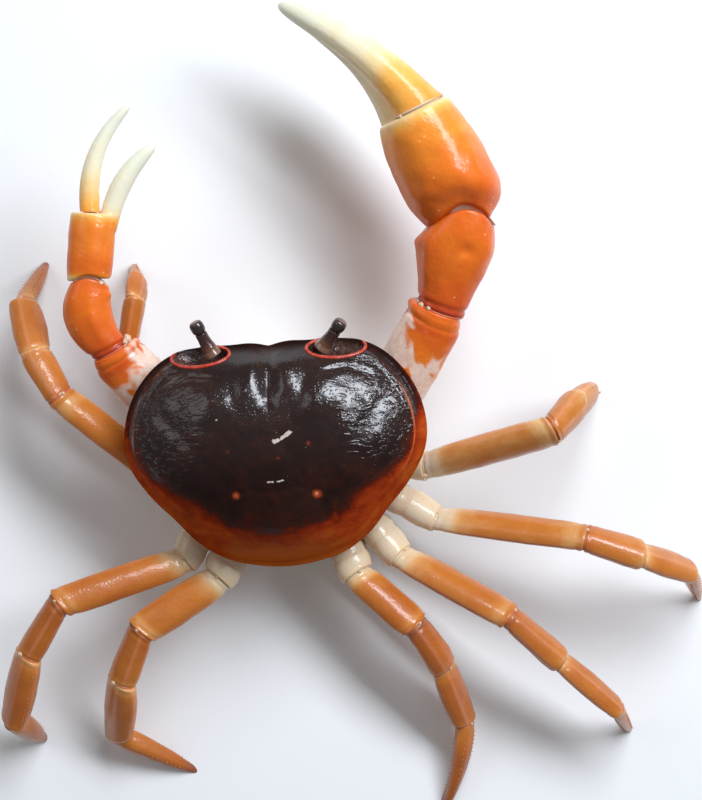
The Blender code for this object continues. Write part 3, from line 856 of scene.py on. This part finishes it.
def blank(*layers):
    """An empty mesh with the painted values that its finish reads."""
    mesh = bmesh.new()
    for name in layers:
        mesh.verts.layers.float.new(name)
    return mesh


def painted(mesh, name):
    """The key of a value painted on a mesh."""
    return mesh.verts.layers.float[name]


def linked(name, data):
    made = bpy.data.objects.new(name, data)
    bpy.context.scene.collection.objects.link(made)
    return made


def object_from(mesh, name, *surfaces):
    """Turns a shaped mesh into an object of the scene."""
    data = bpy.data.meshes.new(name)
    mesh.to_mesh(data)
    mesh.free()
    for surface in surfaces:
        data.materials.append(surface)
    return linked(name, data)


def to_frame(mesh):
    """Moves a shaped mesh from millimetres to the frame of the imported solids."""
    for vertex in mesh.verts:
        vertex.co = (vertex.co - ORIGIN) * MM


def smoothed(made, sharp):
    made.data.shade_smooth()
    made.data.set_sharp_from_angle(angle=sharp)


def finish_piece(mesh, name, surface, replaces=()):
    """Makes a shaped mesh into a piece: in metres, in the frame, riding with the crab."""
    to_frame(mesh)
    made = object_from(mesh, name, surface)
    smoothed(made, SHARP_EDGE)
    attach(made, "root")
    if replaces:
        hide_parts(*replaces)
    return made


def finish_shell(mesh, node, surface):
    """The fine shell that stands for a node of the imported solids."""
    return finish_piece(mesh, node + "_shell", surface, [node])


def ball(mesh, around, rings):
    made = bmesh.ops.create_uvsphere(mesh, u_segments=around, v_segments=rings, radius=1.0)
    return made["verts"]


def hoop(mesh, around, section):
    """A ring round the vertical axis, closed by spinning a small circle through a full turn."""
    turn = Matrix.Translation(SIDEWAYS) @ Matrix.Rotation(QUARTER, 4, "X")
    before = set(mesh.verts)
    bmesh.ops.create_circle(mesh, segments=section, radius=RING_TUBE, matrix=turn)
    profile = [vertex for vertex in mesh.verts if vertex not in before]
    edges = list({edge for vertex in profile for edge in vertex.link_edges})
    bmesh.ops.spin(
        mesh,
        geom=profile + edges,
        cent=(0.0, 0.0, 0.0),
        axis=UP,
        steps=around,
        angle=FULL_TURN,
        use_merge=True,
    )
    made = [vertex for vertex in mesh.verts if vertex not in before]
    faces = list({face for vertex in made for face in vertex.link_faces})
    bmesh.ops.recalc_face_normals(mesh, faces=faces)
    return made


def bead(mesh, loop, half_widths, around, section):
    """Lays a ring along a closed loop of points, outward directions and thicknesses."""
    count = len(loop)
    tone = painted(mesh, "tone")
    for vertex in hoop(mesh, around, section):
        x, y, z = vertex.co
        place = (math.atan2(y, x) / FULL_TURN) % 1.0 * count
        i = int(place) % count
        point = loop[i][0].lerp(loop[(i + 1) % count][0], place - int(place))
        way = (loop[(i + 2) % count][0] - loop[(i - 1) % count][0]).normalized()
        out, aside = square_to(way, loop[i][1])
        wide = (math.hypot(x, y) - 1.0) / RING_TUBE * loop[i][2]
        high = z / RING_TUBE * loop[i][2]
        vertex.co = point + aside * (wide * half_widths[0]) + out * (high * half_widths[1])
        vertex[tone] = eased(0.76, 0.56, loop[i][2])


def ripples(parts, place):
    """The sum of some humps along a line, each a place, a half-width and a height."""
    return sum(height * hump(place - centre, width) for centre, width, height in parts)


def lobes(parts, angle):
    """The sum of some humps round a limb, each an angle, a half-width and a height."""
    return sum(height * hump(turned(angle - centre), width) for centre, width, height in parts)


def knobs(parts, s, angle):
    """The sum of some humps on a limb: each a place, an angle, a length, a width and a height."""
    return sum(
        height * hump(s - place, length) * hump(turned(angle - centre), width)
        for place, centre, length, width, height in parts
    )


def shaped_offset(form, s, angle, cap):
    """How far the keels, rings and knobs of a form raise the surface at a place on a segment."""
    middle = eased(0.02, 0.14, s) * eased(0.02, 0.14, 1 - s)
    rise = middle * lobes(form.get("keels", ()), angle)
    rise += ripples(form.get("rings", ()), s)
    return (rise + knobs(form.get("knobs", ()), s, angle)) * cap


def segment(mesh, start, end, across, half_sizes, form, planes, around=36, rings=48, aside=0.0):
    """A limb segment: a closed pod whose ends lie against the planes of its joints."""
    way = (end - start).normalized()
    axes = square_to(way, across)
    bow = axes[1] * form.get("bow", 0.0) + axes[0] * aside
    power = form.get("power", 22)
    keels = form.get("keels", ())
    high_keels = [(centre, width, 1.0) for centre, width, height in keels if height > 0.05]
    tone, keel_highlight, pale = (painted(mesh, name) for name in SHELL_LAYERS)
    for vertex in ball(mesh, around, rings):
        s, angle = limb_place(vertex.co, 0.8)
        cap = max(1 - abs(2 * s - 1) ** power, 0.0) ** (1 / power)
        size = along(form["swell"], s) * cap
        offset = oval(Vector(), axes, half_sizes, angle, size, shaped_offset(form, s, angle, cap))
        offset += bow * (4 * s * (1 - s))
        near = to_plane(start + offset, way, planes[0])
        far = to_plane(end + offset, way, planes[1])
        near += way * (cap * lobes(form.get("start_lobes", ()), angle))
        far += way * (cap * lobes(form.get("end_lobes", ()), angle))
        vertex.co = near.lerp(far, s)
        vertex.co += offset * (0.025 * uneven(vertex.co, 2.2, 3.1))
        vertex[tone] = along(form["tones"], s)
        # Marks the upper keels, where the leg finish paints a highlight.
        vertex[keel_highlight] = lobes(high_keels, angle)
        vertex[pale] = knobs(form.get("pale", ()), s, angle)


def finger(mesh, points, across, kind, claw, root_plane=None):
    """A claw's finger or pollex: it tapers along a curve, with blunt teeth on its biting edge."""
    half_sizes = claw[kind + "_half_sizes"]
    bite = claw[kind + "_bite"]
    flare = claw["flare"] if kind == "finger" else 0.0
    tone = painted(mesh, "tone")
    mean = (half_sizes[0] + half_sizes[1]) / 2
    # Every third tooth is larger.
    teeth = [
        (FIRST_TOOTH + TOOTH_SPACING * i, bite, TOOTH_LENGTH, TOOTH_WIDTH, 0.13 if i % 3 else 0.2)
        for i in range(TEETH)
    ]
    grooves = [(bite + groove, 0.16, -0.035) for groove in FINGER_GROOVES]
    for vertex in ball(mesh, 48, 110):
        s, angle = limb_place(vertex.co, 0.5)
        blunt = max(1 - s**14, 0.0) ** 0.5
        root = max(1 - (1 - s) ** 24, 0.0) ** (1 / 24)
        way = (bend(points, s + CURVE_STEP) - bend(points, s - CURVE_STEP)).normalized()
        size = (along(claw[kind + "_swell"], s) + flare * hump(s, 0.09)) * blunt * root
        rise = claw["teeth"] * knobs(teeth, s, angle) + lobes(grooves, angle) * eased(0.05, 0.3, s)
        rise *= mean * size
        vertex.co = oval(bend(points, s), square_to(way, across), half_sizes, angle, size, rise)
        if root_plane and s < 0.25:
            slid = to_plane(vertex.co, way, root_plane)
            vertex.co = vertex.co.lerp(slid, eased(0.25, 0.0, s))
        vertex[tone] = along(claw[kind + "_tones"], s)


def fused(mesh, voxel, rounds):
    """One skin over shapes that overlap, with the creases between them softened."""
    rough = object_from(mesh, "rough")
    step = rough.modifiers.new("fuse", "REMESH")
    step.mode = "VOXEL"
    step.voxel_size = voxel
    bpy.context.view_layer.update()
    made = bmesh.new()
    made.from_object(rough, bpy.context.evaluated_depsgraph_get())
    data = rough.data
    bpy.data.objects.remove(rough)
    bpy.data.meshes.remove(data)
    axes = {"use_axis_x": True, "use_axis_y": True, "use_axis_z": True}
    for _ in range(rounds):
        bmesh.ops.smooth_vert(made, verts=made.verts, factor=0.5, **axes)
    return made


# Carapace.


def near_line(x, y, ax, ay, bx, by):
    """How far a place lies from a line, and where along the line its nearest point is."""
    run = (bx - ax) ** 2 + (by - ay) ** 2
    t = min(max(((x - ax) * (bx - ax) + (y - ay) * (by - ay)) / run, 0.0), 1.0)
    return math.hypot(x - ax - t * (bx - ax), y - ay - t * (by - ay)), t


def furrow_depth(x, y, points, width):
    """How deep in a furrow a place lies, from 0 to 1, fading out at the furrow's ends."""
    best = 0.0
    count = len(points) - 1
    for i in range(count):
        far, t = near_line(x, y, *points[i], *points[i + 1])
        ends = 1.0 - 0.45 * abs(2 * (i + t) / count - 1) ** 4
        best = max(best, hump(far, width) * ends)
    return best


def back_relief(x, y):
    """The swellings and furrows of the back, in millimetres above the plain dome."""
    ax = abs(x)
    rise = 0.0
    for (cx, cy), (wide, long), height in SWELLINGS:
        both = hump(ax - cx, wide) + (hump(ax + cx, wide) if cx else 0.0)
        rise += height * both * hump(y - cy, long)
    for points, width, depth in FURROWS:
        rise -= depth * furrow_depth(ax, y, points, width)
    for (cx, cy), size in PITS:
        rise -= PIT_DEPTH * size * hump(math.hypot(x - cx, y - cy), 0.6 * size)
    return rise + 0.1 * uneven((x, y, 0.0), 2.6, 1.0) + 0.045 * uneven((x, y, 0.0), 1.1, 2.0)


def carapace_place(bearing, polar, side):
    """The carapace's surface, by bearing from the front and angle from the top."""
    turn = bearing / math.pi
    radius = along(CARAPACE_RADII, turn) + lobes(FRONT_LOBES, bearing)
    crest = along(CREST_HEIGHTS, turn)
    edge = radius - EDGE_INSET
    # From the crest, where down is 0, the flank falls to the edge and the belly closes below it.
    down = (polar - QUARTER) / QUARTER
    upper = polar <= QUARTER + 0.001
    if upper:
        share = min(math.sin(polar), 1.0)
        reach = radius * share
        height = crest + (DOME_TOP - crest) * max(1.0 - share**DOME_POWER, 0.0) ** DOME_ROUNDING
    elif down < 0.5:
        fall = down / 0.5
        reach = radius - EDGE_INSET * fall**2 + FLANK_BULGE * turn * math.sin(math.pi * fall)
        reach -= 0.25 * hump(fall - 0.55, 0.08) * eased(0.1, 0.25, turn)
        height = crest + (EDGE_HEIGHT - crest) * fall
    else:
        reach = edge * (1 - (down - 0.5) / 0.5)
        slope = min((edge - reach) / (edge - BELLY_RADIUS), 1.0)
        height = EDGE_HEIGHT + (BELLY_HEIGHT - EDGE_HEIGHT) * slope
    x = side * reach * math.sin(bearing)
    y = -reach * math.cos(bearing)
    if upper:
        inside = radius - reach
        lateral = eased(0.2, 0.3, turn) * eased(0.2, 0.34, 0.95 - turn)
        height += back_relief(x, y) * eased(0.0, 1.6, inside)
        height += lateral * ripples(SIDE_RIPPLES, inside)
        height += eased(0.66, 0.8, turn) * ripples(REAR_RIPPLES, inside)
    return Vector((x, y, height))


def in_orbit(point, side):
    centre = mirrored(ORBIT_CENTRE, side)
    return sum(((point[i] - centre[i]) / ORBIT_SIZE[i]) ** 2 for i in range(3)) < 1


def orbit_edge(side):
    """The closed edge of an eye socket: points, outward directions and the rim's thickness."""
    middle = math.atan2(ORBIT_CENTRE.x, -ORBIT_CENTRE.y)
    loop = []
    for i in range(ORBIT_POINTS):
        turn = FULL_TURN * i / ORBIT_POINTS
        near, far = 0.0, 1.0
        for _ in range(22):
            reach = (near + far) / 2
            bearing = middle + reach * 0.55 * math.cos(turn)
            polar = QUARTER + reach * 1.1 * math.sin(turn)
            point = carapace_place(bearing, polar, side)
            if in_orbit(point, side):
                near = reach
            else:
                far = reach
        out = Vector((point.x * 0.05, point.y * 0.05, 1.0 if polar < QUARTER else 0.1))
        loop.append((point, out.normalized(), 0.66 - 0.34 * math.sin(turn)))
    return loop


def carapace_paint(x, y, z):
    """The painted values at a place on the carapace, in the order of its layers."""
    turn = math.atan2(abs(x), -y) / math.pi
    crest = along(CREST_HEIGHTS, turn)
    # The distance inside the edge, which turns negative below the crest.
    inside = along(CARAPACE_RADII, turn) - math.hypot(x, y)
    if z <= crest - 0.3:
        inside = -(crest - z) * 0.35
    right = x < 0
    border = along(BORDER_WIDTHS, turn)
    warm = 0.6 * eased(border + 2.4, border - 1.6, inside) + 0.22 * eased(border, 0.0, inside)
    warm *= eased(0.3, 0.5, turn)
    if inside < 0:
        warm = max(warm, eased(0.2, 0.4, turn) * (0.5 if right else 0.25))
    warm += 0.3 * eased(0.0, 11.0, y) * hump(x, 9.0)
    warm += 0.1 * eased(0.8, 0.95, turn) * eased(2.2, 0.6, inside)
    line = eased(0.28, 0.4, turn) * eased(0.36, 0.46, 1.0 - turn) if inside > 0 else 0.0
    line *= hump(inside - 1.35, 0.16) * (0.9 if right else 0.35)
    pit = max(
        size * eased(0.95 * size, 0.1, math.hypot(x - cx, y - cy)) for (cx, cy), size in PITS
    )
    granular = eased(0.1, 1.4, inside) * (0.25 + 0.75 * eased(5.0, -4.5, y))
    granular *= 0.3 + 0.7 * eased(-14.8, -11.6, y)
    streaked = eased(7.0, 12.0, abs(x)) * eased(6.0, 0.0, y) * eased(0.0, 1.0, inside)
    mark = 0.0
    if z > crest:
        mark = max(
            eased(2.2 * width, 0.4 * width, near_line(x, y, *start, *end)[0])
            for start, end, width in MARKS
        )
    return warm, line, pit, granular, streaked, mark


def orbit_scoop(side, lining):
    """The hollow of an eye socket, as a shape to cut with."""
    mesh = blank()
    for vertex in ball(mesh, 48, 32):
        co = vertex.co
        vertex.co = mirrored(ORBIT_CENTRE, side) + Vector(ORBIT_SIZE[i] * co[i] for i in range(3))
    to_frame(mesh)
    return object_from(mesh, "scoop", lining)


def make_carapace():
    mesh = blank(*CARAPACE_LAYERS)
    for vertex in ball(mesh, 288, 176):
        x, y, z = vertex.co
        polar = math.acos(max(-1.0, min(1.0, z)))
        vertex.co = carapace_place(math.atan2(abs(x), -y), polar, 1 if x >= 0 else -1)
    keys = [painted(mesh, name) for name in CARAPACE_LAYERS]
    for vertex in mesh.verts:
        for key, value in zip(keys, carapace_paint(*vertex.co)):
            vertex[key] = value
    lining = orbit_finish()
    shell = finish_shell(mesh, "carapace", carapace_finish())
    for _, side in SIDES:
        tool = orbit_scoop(side, lining)
        cut = shell.modifiers.new("orbit", "BOOLEAN")
        cut.operation = "DIFFERENCE"
        cut.solver = "EXACT"
        cut.material_mode = "TRANSFER"
        cut.object = tool
        bpy.context.view_layer.update()
        graph = bpy.context.evaluated_depsgraph_get()
        carved = bpy.data.meshes.new_from_object(shell.evaluated_get(graph))
        shell.modifiers.remove(cut)
        shell.data = carved
        bpy.data.objects.remove(tool)
    smoothed(shell, CUT_SHARP_EDGE)
    red = rim_finish()
    for name, side in SIDES:
        mesh = blank("tone")
        bead(mesh, orbit_edge(side), RIM_HALF_WIDTHS, 128, 10)
        finish_piece(mesh, name + "_orbit_rim", red)


# Underside and face.


def pillow(mesh, centre, size, squareness, around, rings, lean=0.0):
    """A rounded block: a ball squared off by raising its shape to a power."""
    for vertex in ball(mesh, around, rings):
        co = vertex.co
        span = sum(abs(part) ** squareness for part in co) ** (1 / squareness)
        vertex.co = centre + Vector(size[i] * co[i] / span for i in range(3))
        vertex.co.y -= (vertex.co.z - centre.z) * math.tan(lean)


def flattened(value):
    """Draws a sine or cosine outward, which squares off an oval."""
    return math.copysign(abs(value) ** 0.7, value)


def make_sternum(cream):
    mesh = blank("suture")
    suture = painted(mesh, "suture")
    pillow(mesh, STERNUM_CENTRE, STERNUM_SIZE, 4.0, 96, 64)
    for vertex in mesh.verts:
        x, y, z = vertex.co
        if z < STERNUM_CENTRE.z:
            ax = abs(x)
            across = max(hump(y - place - 0.12 * ax, 0.22) for place in STERNUM_SEAMS)
            seam = max(across * eased(2.0, 4.0, ax), hump(x, 0.2))
            vertex[suture] = seam
            vertex.co.z += STERNUM_SEAM_DEPTH * seam
    finish_shell(mesh, "sternum", cream)


def abdomen_centre(t):
    places, heights = zip(*ABDOMEN_PATH)
    return Vector((0, along(places, t), along(heights, t)))


def make_abdomen(cream):
    mesh = blank("suture")
    suture = painted(mesh, "suture")
    for vertex in ball(mesh, 56, 96):
        t, angle = limb_place(vertex.co)
        ahead = abdomen_centre(min(t + CURVE_STEP, 1))
        way = (ahead - abdomen_centre(max(t - CURVE_STEP, 0))).normalized()
        ends = max(1 - abs(2 * t - 1) ** 16, 0.0) ** (1 / 16)
        seam = max(hump(t - place, 0.014) for place in ABDOMEN_SEAMS)
        half = along(ABDOMEN_HALF_WIDTHS, t) * ends * (1 - 0.03 * seam)
        thickness = ABDOMEN_HALF_THICKNESS * (1 - 0.4 * seam) * ends
        vertex.co = abdomen_centre(t) + Vector((flattened(math.cos(angle)) * half, 0, 0))
        vertex.co += way.cross(SIDEWAYS) * (flattened(math.sin(angle)) * thickness)
        vertex[suture] = seam
    finish_shell(mesh, "abdomen", cream)


def make_mouth_frame(amber):
    mesh = blank(*SHELL_LAYERS)
    tone = painted(mesh, "tone")
    pillow(mesh, MOUTH_CENTRE, MOUTH_SIZE, 3.5, 72, 40, MOUTH_LEAN)
    for vertex in mesh.verts:
        x, _, z = vertex.co
        vertex[tone] = 0.18 + 0.4 * eased(MOUTH_CENTRE.z, MOUTH_CENTRE.z + MOUTH_SIZE.z, z)
        ribs = hump(z - 9.0, 0.2) + hump(z - 8.2, 0.16) + hump(abs(x) - 5.6, 0.25)
        vertex.co.y += MOUTH_GROOVE_DEPTH * min(ribs, 1.0)
    for _, side in SIDES:
        for foot, tip, half in FEELERS:
            a, b = mirrored(foot, side), mirrored(tip, side)
            way = (b - a).normalized()
            planes = ((a, way), (b, way))
            segment(mesh, a, b, SIDEWAYS, (half, half), FEELER_FORM, planes, 14, 16)
    finish_shell(mesh, "mouth_frame", amber)


def make_maxilliped(name, side, cream):
    mesh = blank("suture")
    suture = painted(mesh, "suture")
    middle = mirrored(MAXILLIPED_CENTRE, side)
    pillow(mesh, middle, MAXILLIPED_SIZE, 3.5, 56, 40, MOUTH_LEAN)
    for vertex in mesh.verts:
        x, y, z = vertex.co
        cleft = hump(z - middle.z - 0.9, 0.12) + hump(x - middle.x - side * 1.25, 0.12)
        groove = hump(x - middle.x + side * 0.4, 0.2) * eased(middle.z + 0.6, middle.z, z)
        vertex[suture] = min(cleft + 0.4 * groove, 1.0)
        if y < middle.y - (z - middle.z) * math.tan(MOUTH_LEAN):
            vertex.co.y += MOUTH_GROOVE_DEPTH * min(cleft + 0.6 * groove, 1.0)
    finish_shell(mesh, name + "_maxilliped", cream)


def make_underside(amber):
    cream = underside_finish()
    make_sternum(cream)
    make_abdomen(cream)
    make_mouth_frame(amber)
    for name, side in SIDES:
        make_maxilliped(name, side, cream)


def make_eyes():
    brown = stalk_finish()
    dark = cornea_finish()
    round_size = (STALK_RADIUS, STALK_RADIUS)
    for name, (root, tip) in EYES.items():
        middle = root.lerp(tip, EYE_START)
        stalk_planes, eye_planes = joint_planes([root, middle, tip], 0.0)
        mesh = blank(*SHELL_LAYERS)
        segment(mesh, root, middle, UP, round_size, STALK_FORM, stalk_planes, 28, 32)
        finish_shell(mesh, name + "_eyestalk", brown)
        mesh = blank(*SHELL_LAYERS)
        segment(mesh, middle, tip, UP, round_size, EYE_FORM, eye_planes, 32, 28)
        finish_piece(mesh, name + "_eye_cornea", dark, [name + "_eye"])


# Limbs.


def add_joint(mesh, point, before, after, across, half_sizes, line_tone, condyles, wave=()):
    """Soft skin, a hinge line and cream hinge knobs where one segment meets the next."""
    tone = painted(mesh, "tone")
    way = (before + after).normalized()
    axes = square_to(way, across)

    def place(angle, out, ahead):
        spread = oval(Vector(), axes, half_sizes, angle)
        return point + spread * out + way * (ahead + out * lobes(wave, angle))

    for vertex in ball(mesh, 32, 16):
        x, y, z = vertex.co
        vertex.co = place(math.atan2(y, x), 0.9 * math.hypot(x, y), 0.28 * half_sizes[0] * z)
        vertex[tone] = SKIN_TONE
    for vertex in hoop(mesh, 44, 8):
        x, y, z = vertex.co
        wide = (math.hypot(x, y) - 1.0) / RING_TUBE
        vertex.co = place(math.atan2(y, x), 0.92 + 0.05 * wide, 0.14 * z / RING_TUBE)
        vertex[tone] = line_tone
    for angle, out, ahead, size in condyles:
        foot = place(angle, out, ahead)
        for vertex in ball(mesh, 16, 10):
            vertex.co = foot + vertex.co * size * (1 + 0.3 * uneven(vertex.co, 0.9, ahead))
            vertex[tone] = CONDYLE_TONE


def add_spine(mesh, foot, out, way, length):
    """A short spine that leans towards the tip of its limb."""
    lean = (out + way * 0.7).normalized()
    turn = lean.to_track_quat("Z", "Y").to_matrix().to_4x4()
    bmesh.ops.create_cone(
        mesh,
        cap_ends=True,
        segments=5,
        radius1=SPINE_HALF_WIDTH,
        radius2=SPINE_HALF_WIDTH * 0.15,
        depth=length,
        matrix=Matrix.Translation(foot + lean * (length * 0.35)) @ turn,
    )


def add_spines(mesh, start, end, across, half_sizes, part, planes, aside):
    """Rows of spines along a segment of a walking leg."""
    way = (end - start).normalized()
    axes = square_to(way, across)
    bend_out = axes[0] * (4 * aside)
    angles, spine_length = SPINE_ROWS[part]
    count = int((end - start).length / SPINE_SPACING)
    for row, angle in enumerate(angles):
        out = oval(Vector(), axes, half_sizes, angle)
        for j in range(count):
            s = 0.14 + 0.76 * (j + 0.5 * (row % 2)) / count
            size = along(LEG_FORMS[part]["swell"], s)
            near = to_plane(start + out * size, way, planes[0])
            far = to_plane(end + out * size, way, planes[1])
            foot = near.lerp(far, s) + bend_out * (s * (1 - s))
            if foot.z >= LOWEST_SPINE:
                length = spine_length * (1 + 0.3 * uneven(foot, 0.5, 7.0))
                add_spine(mesh, foot, out.normalized(), way, length)


def make_walking_leg(name, amber, joint_skin, horn):
    hip, twist, scales, pose = WALKING_LEGS[name]
    points = [Vector(hip)]
    for length, heading, pitch in pose:
        points.append(points[-1] + direction(heading, pitch) * length)
    planes = joint_planes(points, SKIN_GAP)
    # The dactyl ends on the floor.
    planes[-1] = (planes[-1][0], (Vector(), UP))
    ways = ways_along(points)
    merus_heading = math.radians(pose[1][1])
    level = Vector((-math.sin(merus_heading), math.cos(merus_heading), 0))
    turn = math.radians(twist)
    joints = blank("tone")
    spines = blank()
    for i, part in enumerate(SEGMENTS):
        node = f"{name}_{part}"
        start, end = points[i], points[i + 1]
        thick, deep = square_to(ways[i], level)
        across = thick * math.cos(turn) + deep * math.sin(turn)
        half_sizes = [size * scales[i] for size in LEG_HALF_SIZES[i]]
        aside = LEG_BENDS.get(node, 0.0)
        form = LEG_FORMS[part]
        rings = 60 if part == "merus" else 44
        mesh = blank(*SHELL_LAYERS)
        segment(mesh, start, end, across, half_sizes, form, planes[i], 36, rings, aside)
        # Each leg's amber is shifted by its own amount: partly its own colour, partly painted
        # light.
        if part != "base":
            tone = painted(mesh, "tone")
            for vertex in mesh.verts:
                vertex[tone] += LEG_TONE_AND_LIGHT.get(name, 0.0)
        finish_shell(mesh, node, amber)
        if i:
            # The joint's skin fits the narrower of the two ends that meet.
            own = along(form["swell"], 0.04)
            taper = scales[i - 1] * along(LEG_FORMS[SEGMENTS[i - 1]]["swell"], 0.96)
            both = zip(half_sizes, LEG_HALF_SIZES[i - 1])
            narrow = [min(size * own, near * taper) for size, near in both]
            knob = 0.14 * half_sizes[0]
            condyles = ((0.0, 0.93, 0.0, knob), (math.pi, 0.93, 0.0, knob))
            line_tone = 0.2 if part == "merus" else 0.7
            add_joint(joints, start, ways[i - 1], ways[i], across, narrow, line_tone, condyles)
        if part in SPINE_ROWS:
            add_spines(spines, start, end, across, half_sizes, part, planes[i], aside)
    finish_piece(joints, name + "_joints", joint_skin)
    finish_piece(spines, name + "_spines", horn)


def paint_palm(mesh, start, end, tones, thumb, thumb_tones):
    """Carries the tones of the palm over into those of the pollex."""
    for name in SHELL_LAYERS:
        mesh.verts.layers.float.new(name)
    tone = painted(mesh, "tone")
    way = (end - start).normalized()
    steps = range(POLLEX_STEPS + 1)
    samples = [bend(thumb, t / POLLEX_STEPS) for t in steps]
    for vertex in mesh.verts:
        s = (vertex.co - start).dot(way) / (end - start).length
        share = eased(-2.5, 1.5, (vertex.co - end).dot(way))
        nearest = min(steps, key=lambda k: (samples[k] - vertex.co).length_squared)
        thumb_tone = along(thumb_tones, nearest / POLLEX_STEPS)
        vertex[tone] = (1 - share) * along(tones, s) + share * thumb_tone
        vertex[tone] += 0.4 * hump((vertex.co - PALM_SPOT).length, PALM_SPOT_REACH)


def make_claw(name, orange, joint_skin):
    claw = CLAWS[name]
    points = [Vector(place) for place in (claw["hip"], *claw["joints"])]
    planes = joint_planes(points, SKIN_GAP)
    ways = ways_along(points)
    joints = blank("tone")
    for i, part in enumerate(("base", "merus", "carpus", "palm")):
        way = ways[i]
        level = way.cross(UP).normalized()
        upright = level.cross(way)
        turn = math.radians(claw["roll"]) if part == "palm" else 0.0
        across = upright * math.cos(turn) + level * math.sin(turn)
        half_sizes = claw["half_sizes"][i]
        form = CLAW_FORMS[part] | claw["forms"].get(part, {})
        if part == "merus":
            form["pale"] = (
                (0.6, 0.7 * claw["medial"], 0.3, 0.7, 1.0),
                (0.2, 0.0, 0.35, ALL_ROUND, 1.2),
                (0.36, 0.0, 0.07, 0.45, -1.3),
            )
        mesh = blank(*SHELL_LAYERS)
        segment(mesh, points[i], points[i + 1], across, half_sizes, form, planes[i], 72, 96)
        if i:
            narrow = [size * along(form["swell"], 0.03) for size in half_sizes]
            line_tone, wave = 0.72, ()
            if part == "palm":
                wrist = 0.91 * along(claw["forms"]["carpus"]["swell"], 1.0)
                narrow = [size * wrist for size in claw["half_sizes"][i - 1]]
                line_tone, wave = 0.22, claw["wrist_wave"]
            condyles = claw["condyles"].get(part, ())
            before = ways[i - 1]
            add_joint(joints, points[i], before, way, upright, narrow, line_tone, condyles, wave)
        if part != "palm":
            finish_shell(mesh, f"{name}_{part}", orange)
    thumb = [Vector(point) for point in claw["pollex"]]
    finger(mesh, thumb, across, "pollex", claw)
    mesh = fused(mesh, claw["voxel"], 3)
    paint_palm(mesh, points[-2], points[-1], form["tones"], thumb, claw["pollex_tones"])
    finish_shell(mesh, name + "_palm", orange)
    mesh = blank(*SHELL_LAYERS)
    dactyl = [Vector(point) for point in claw["finger"]]
    finger(mesh, dactyl, across, "finger", claw, (points[-1] + way * (SKIN_GAP / 2), way))
    finish_shell(mesh, name + "_finger", orange)
    small = [size * (0.99 + claw["flare"]) for size in claw["finger_half_sizes"]]
    add_joint(joints, dactyl[0], way, way, across, small, 0.15, claw["condyles"]["finger"])
    finish_piece(joints, name + "_joints", joint_skin)


# Setting.


def make_light(name, place, energy, width, height, colour):
    """A square-edged soft lamp at a place in metres, turned towards the crab."""
    lamp = bpy.data.lights.new(name, "AREA")
    lamp.shape = "RECTANGLE"
    lamp.size = width
    lamp.size_y = height
    lamp.energy = energy
    lamp.color = colour
    made = linked(name, lamp)
    made.location = place
    made.rotation_euler = (-Vector(place)).to_track_quat("-Z", "Y").to_euler()


def make_setting():
    mesh = bmesh.new()
    bmesh.ops.create_grid(mesh, x_segments=8, y_segments=8, size=1.5)
    floor = object_from(mesh, "floor", floor_finish())

    world = bpy.data.worlds.new("studio")
    world.use_nodes = True
    sky = world.node_tree.nodes["Background"].inputs
    sky["Color"].default_value = (0.95, 0.97, 1.0, 1.0)
    sky["Strength"].default_value = 0.22
    scene = bpy.context.scene
    scene.world = world
    make_light("window", (-0.21, -0.22, 0.33), 2.8, 0.42, 0.12, (0.86, 0.92, 1.0))
    make_light("fill", (0.3, -0.22, 0.34), 0.32, 0.34, 0.22, (0.97, 0.98, 1.0))
    scene.view_settings.view_transform = "Standard"

    back = Vector((-math.sin(VIEW_TILT_RIGHT), -math.sin(VIEW_TILT_FRONT), 1.0)).normalized()
    up = Vector((0.0, -1.0, 0.0))
    up = (up - back * up.dot(back)).normalized()
    right = up.cross(back)
    rolled_up = up * math.cos(VIEW_ROLL) + right * math.sin(VIEW_ROLL)
    rolled_right = right * math.cos(VIEW_ROLL) - up * math.sin(VIEW_ROLL)
    lens = bpy.data.cameras.new("view")
    lens.lens = VIEW_LENS
    lens.clip_start = 0.01
    lens.dof.use_dof = False
    view = linked("view", lens)
    turn = Matrix((rolled_right, rolled_up, back)).transposed().to_4x4()
    view.matrix_world = Matrix.Translation((VIEW_PLACE - ORIGIN) * MM) @ turn
    scene.camera = view


def main():
    amber = leg_finish()
    orange = claw_finish()
    joint_skin = joint_finish()
    horn = spine_finish()
    make_setting()
    make_carapace()
    make_underside(amber)
    make_eyes()
    for name in WALKING_LEGS:
        make_walking_leg(name, amber, joint_skin, horn)
    for name in CLAWS:
        make_claw(name, orange, joint_skin)


main()
bpy.context.view_layer.update()
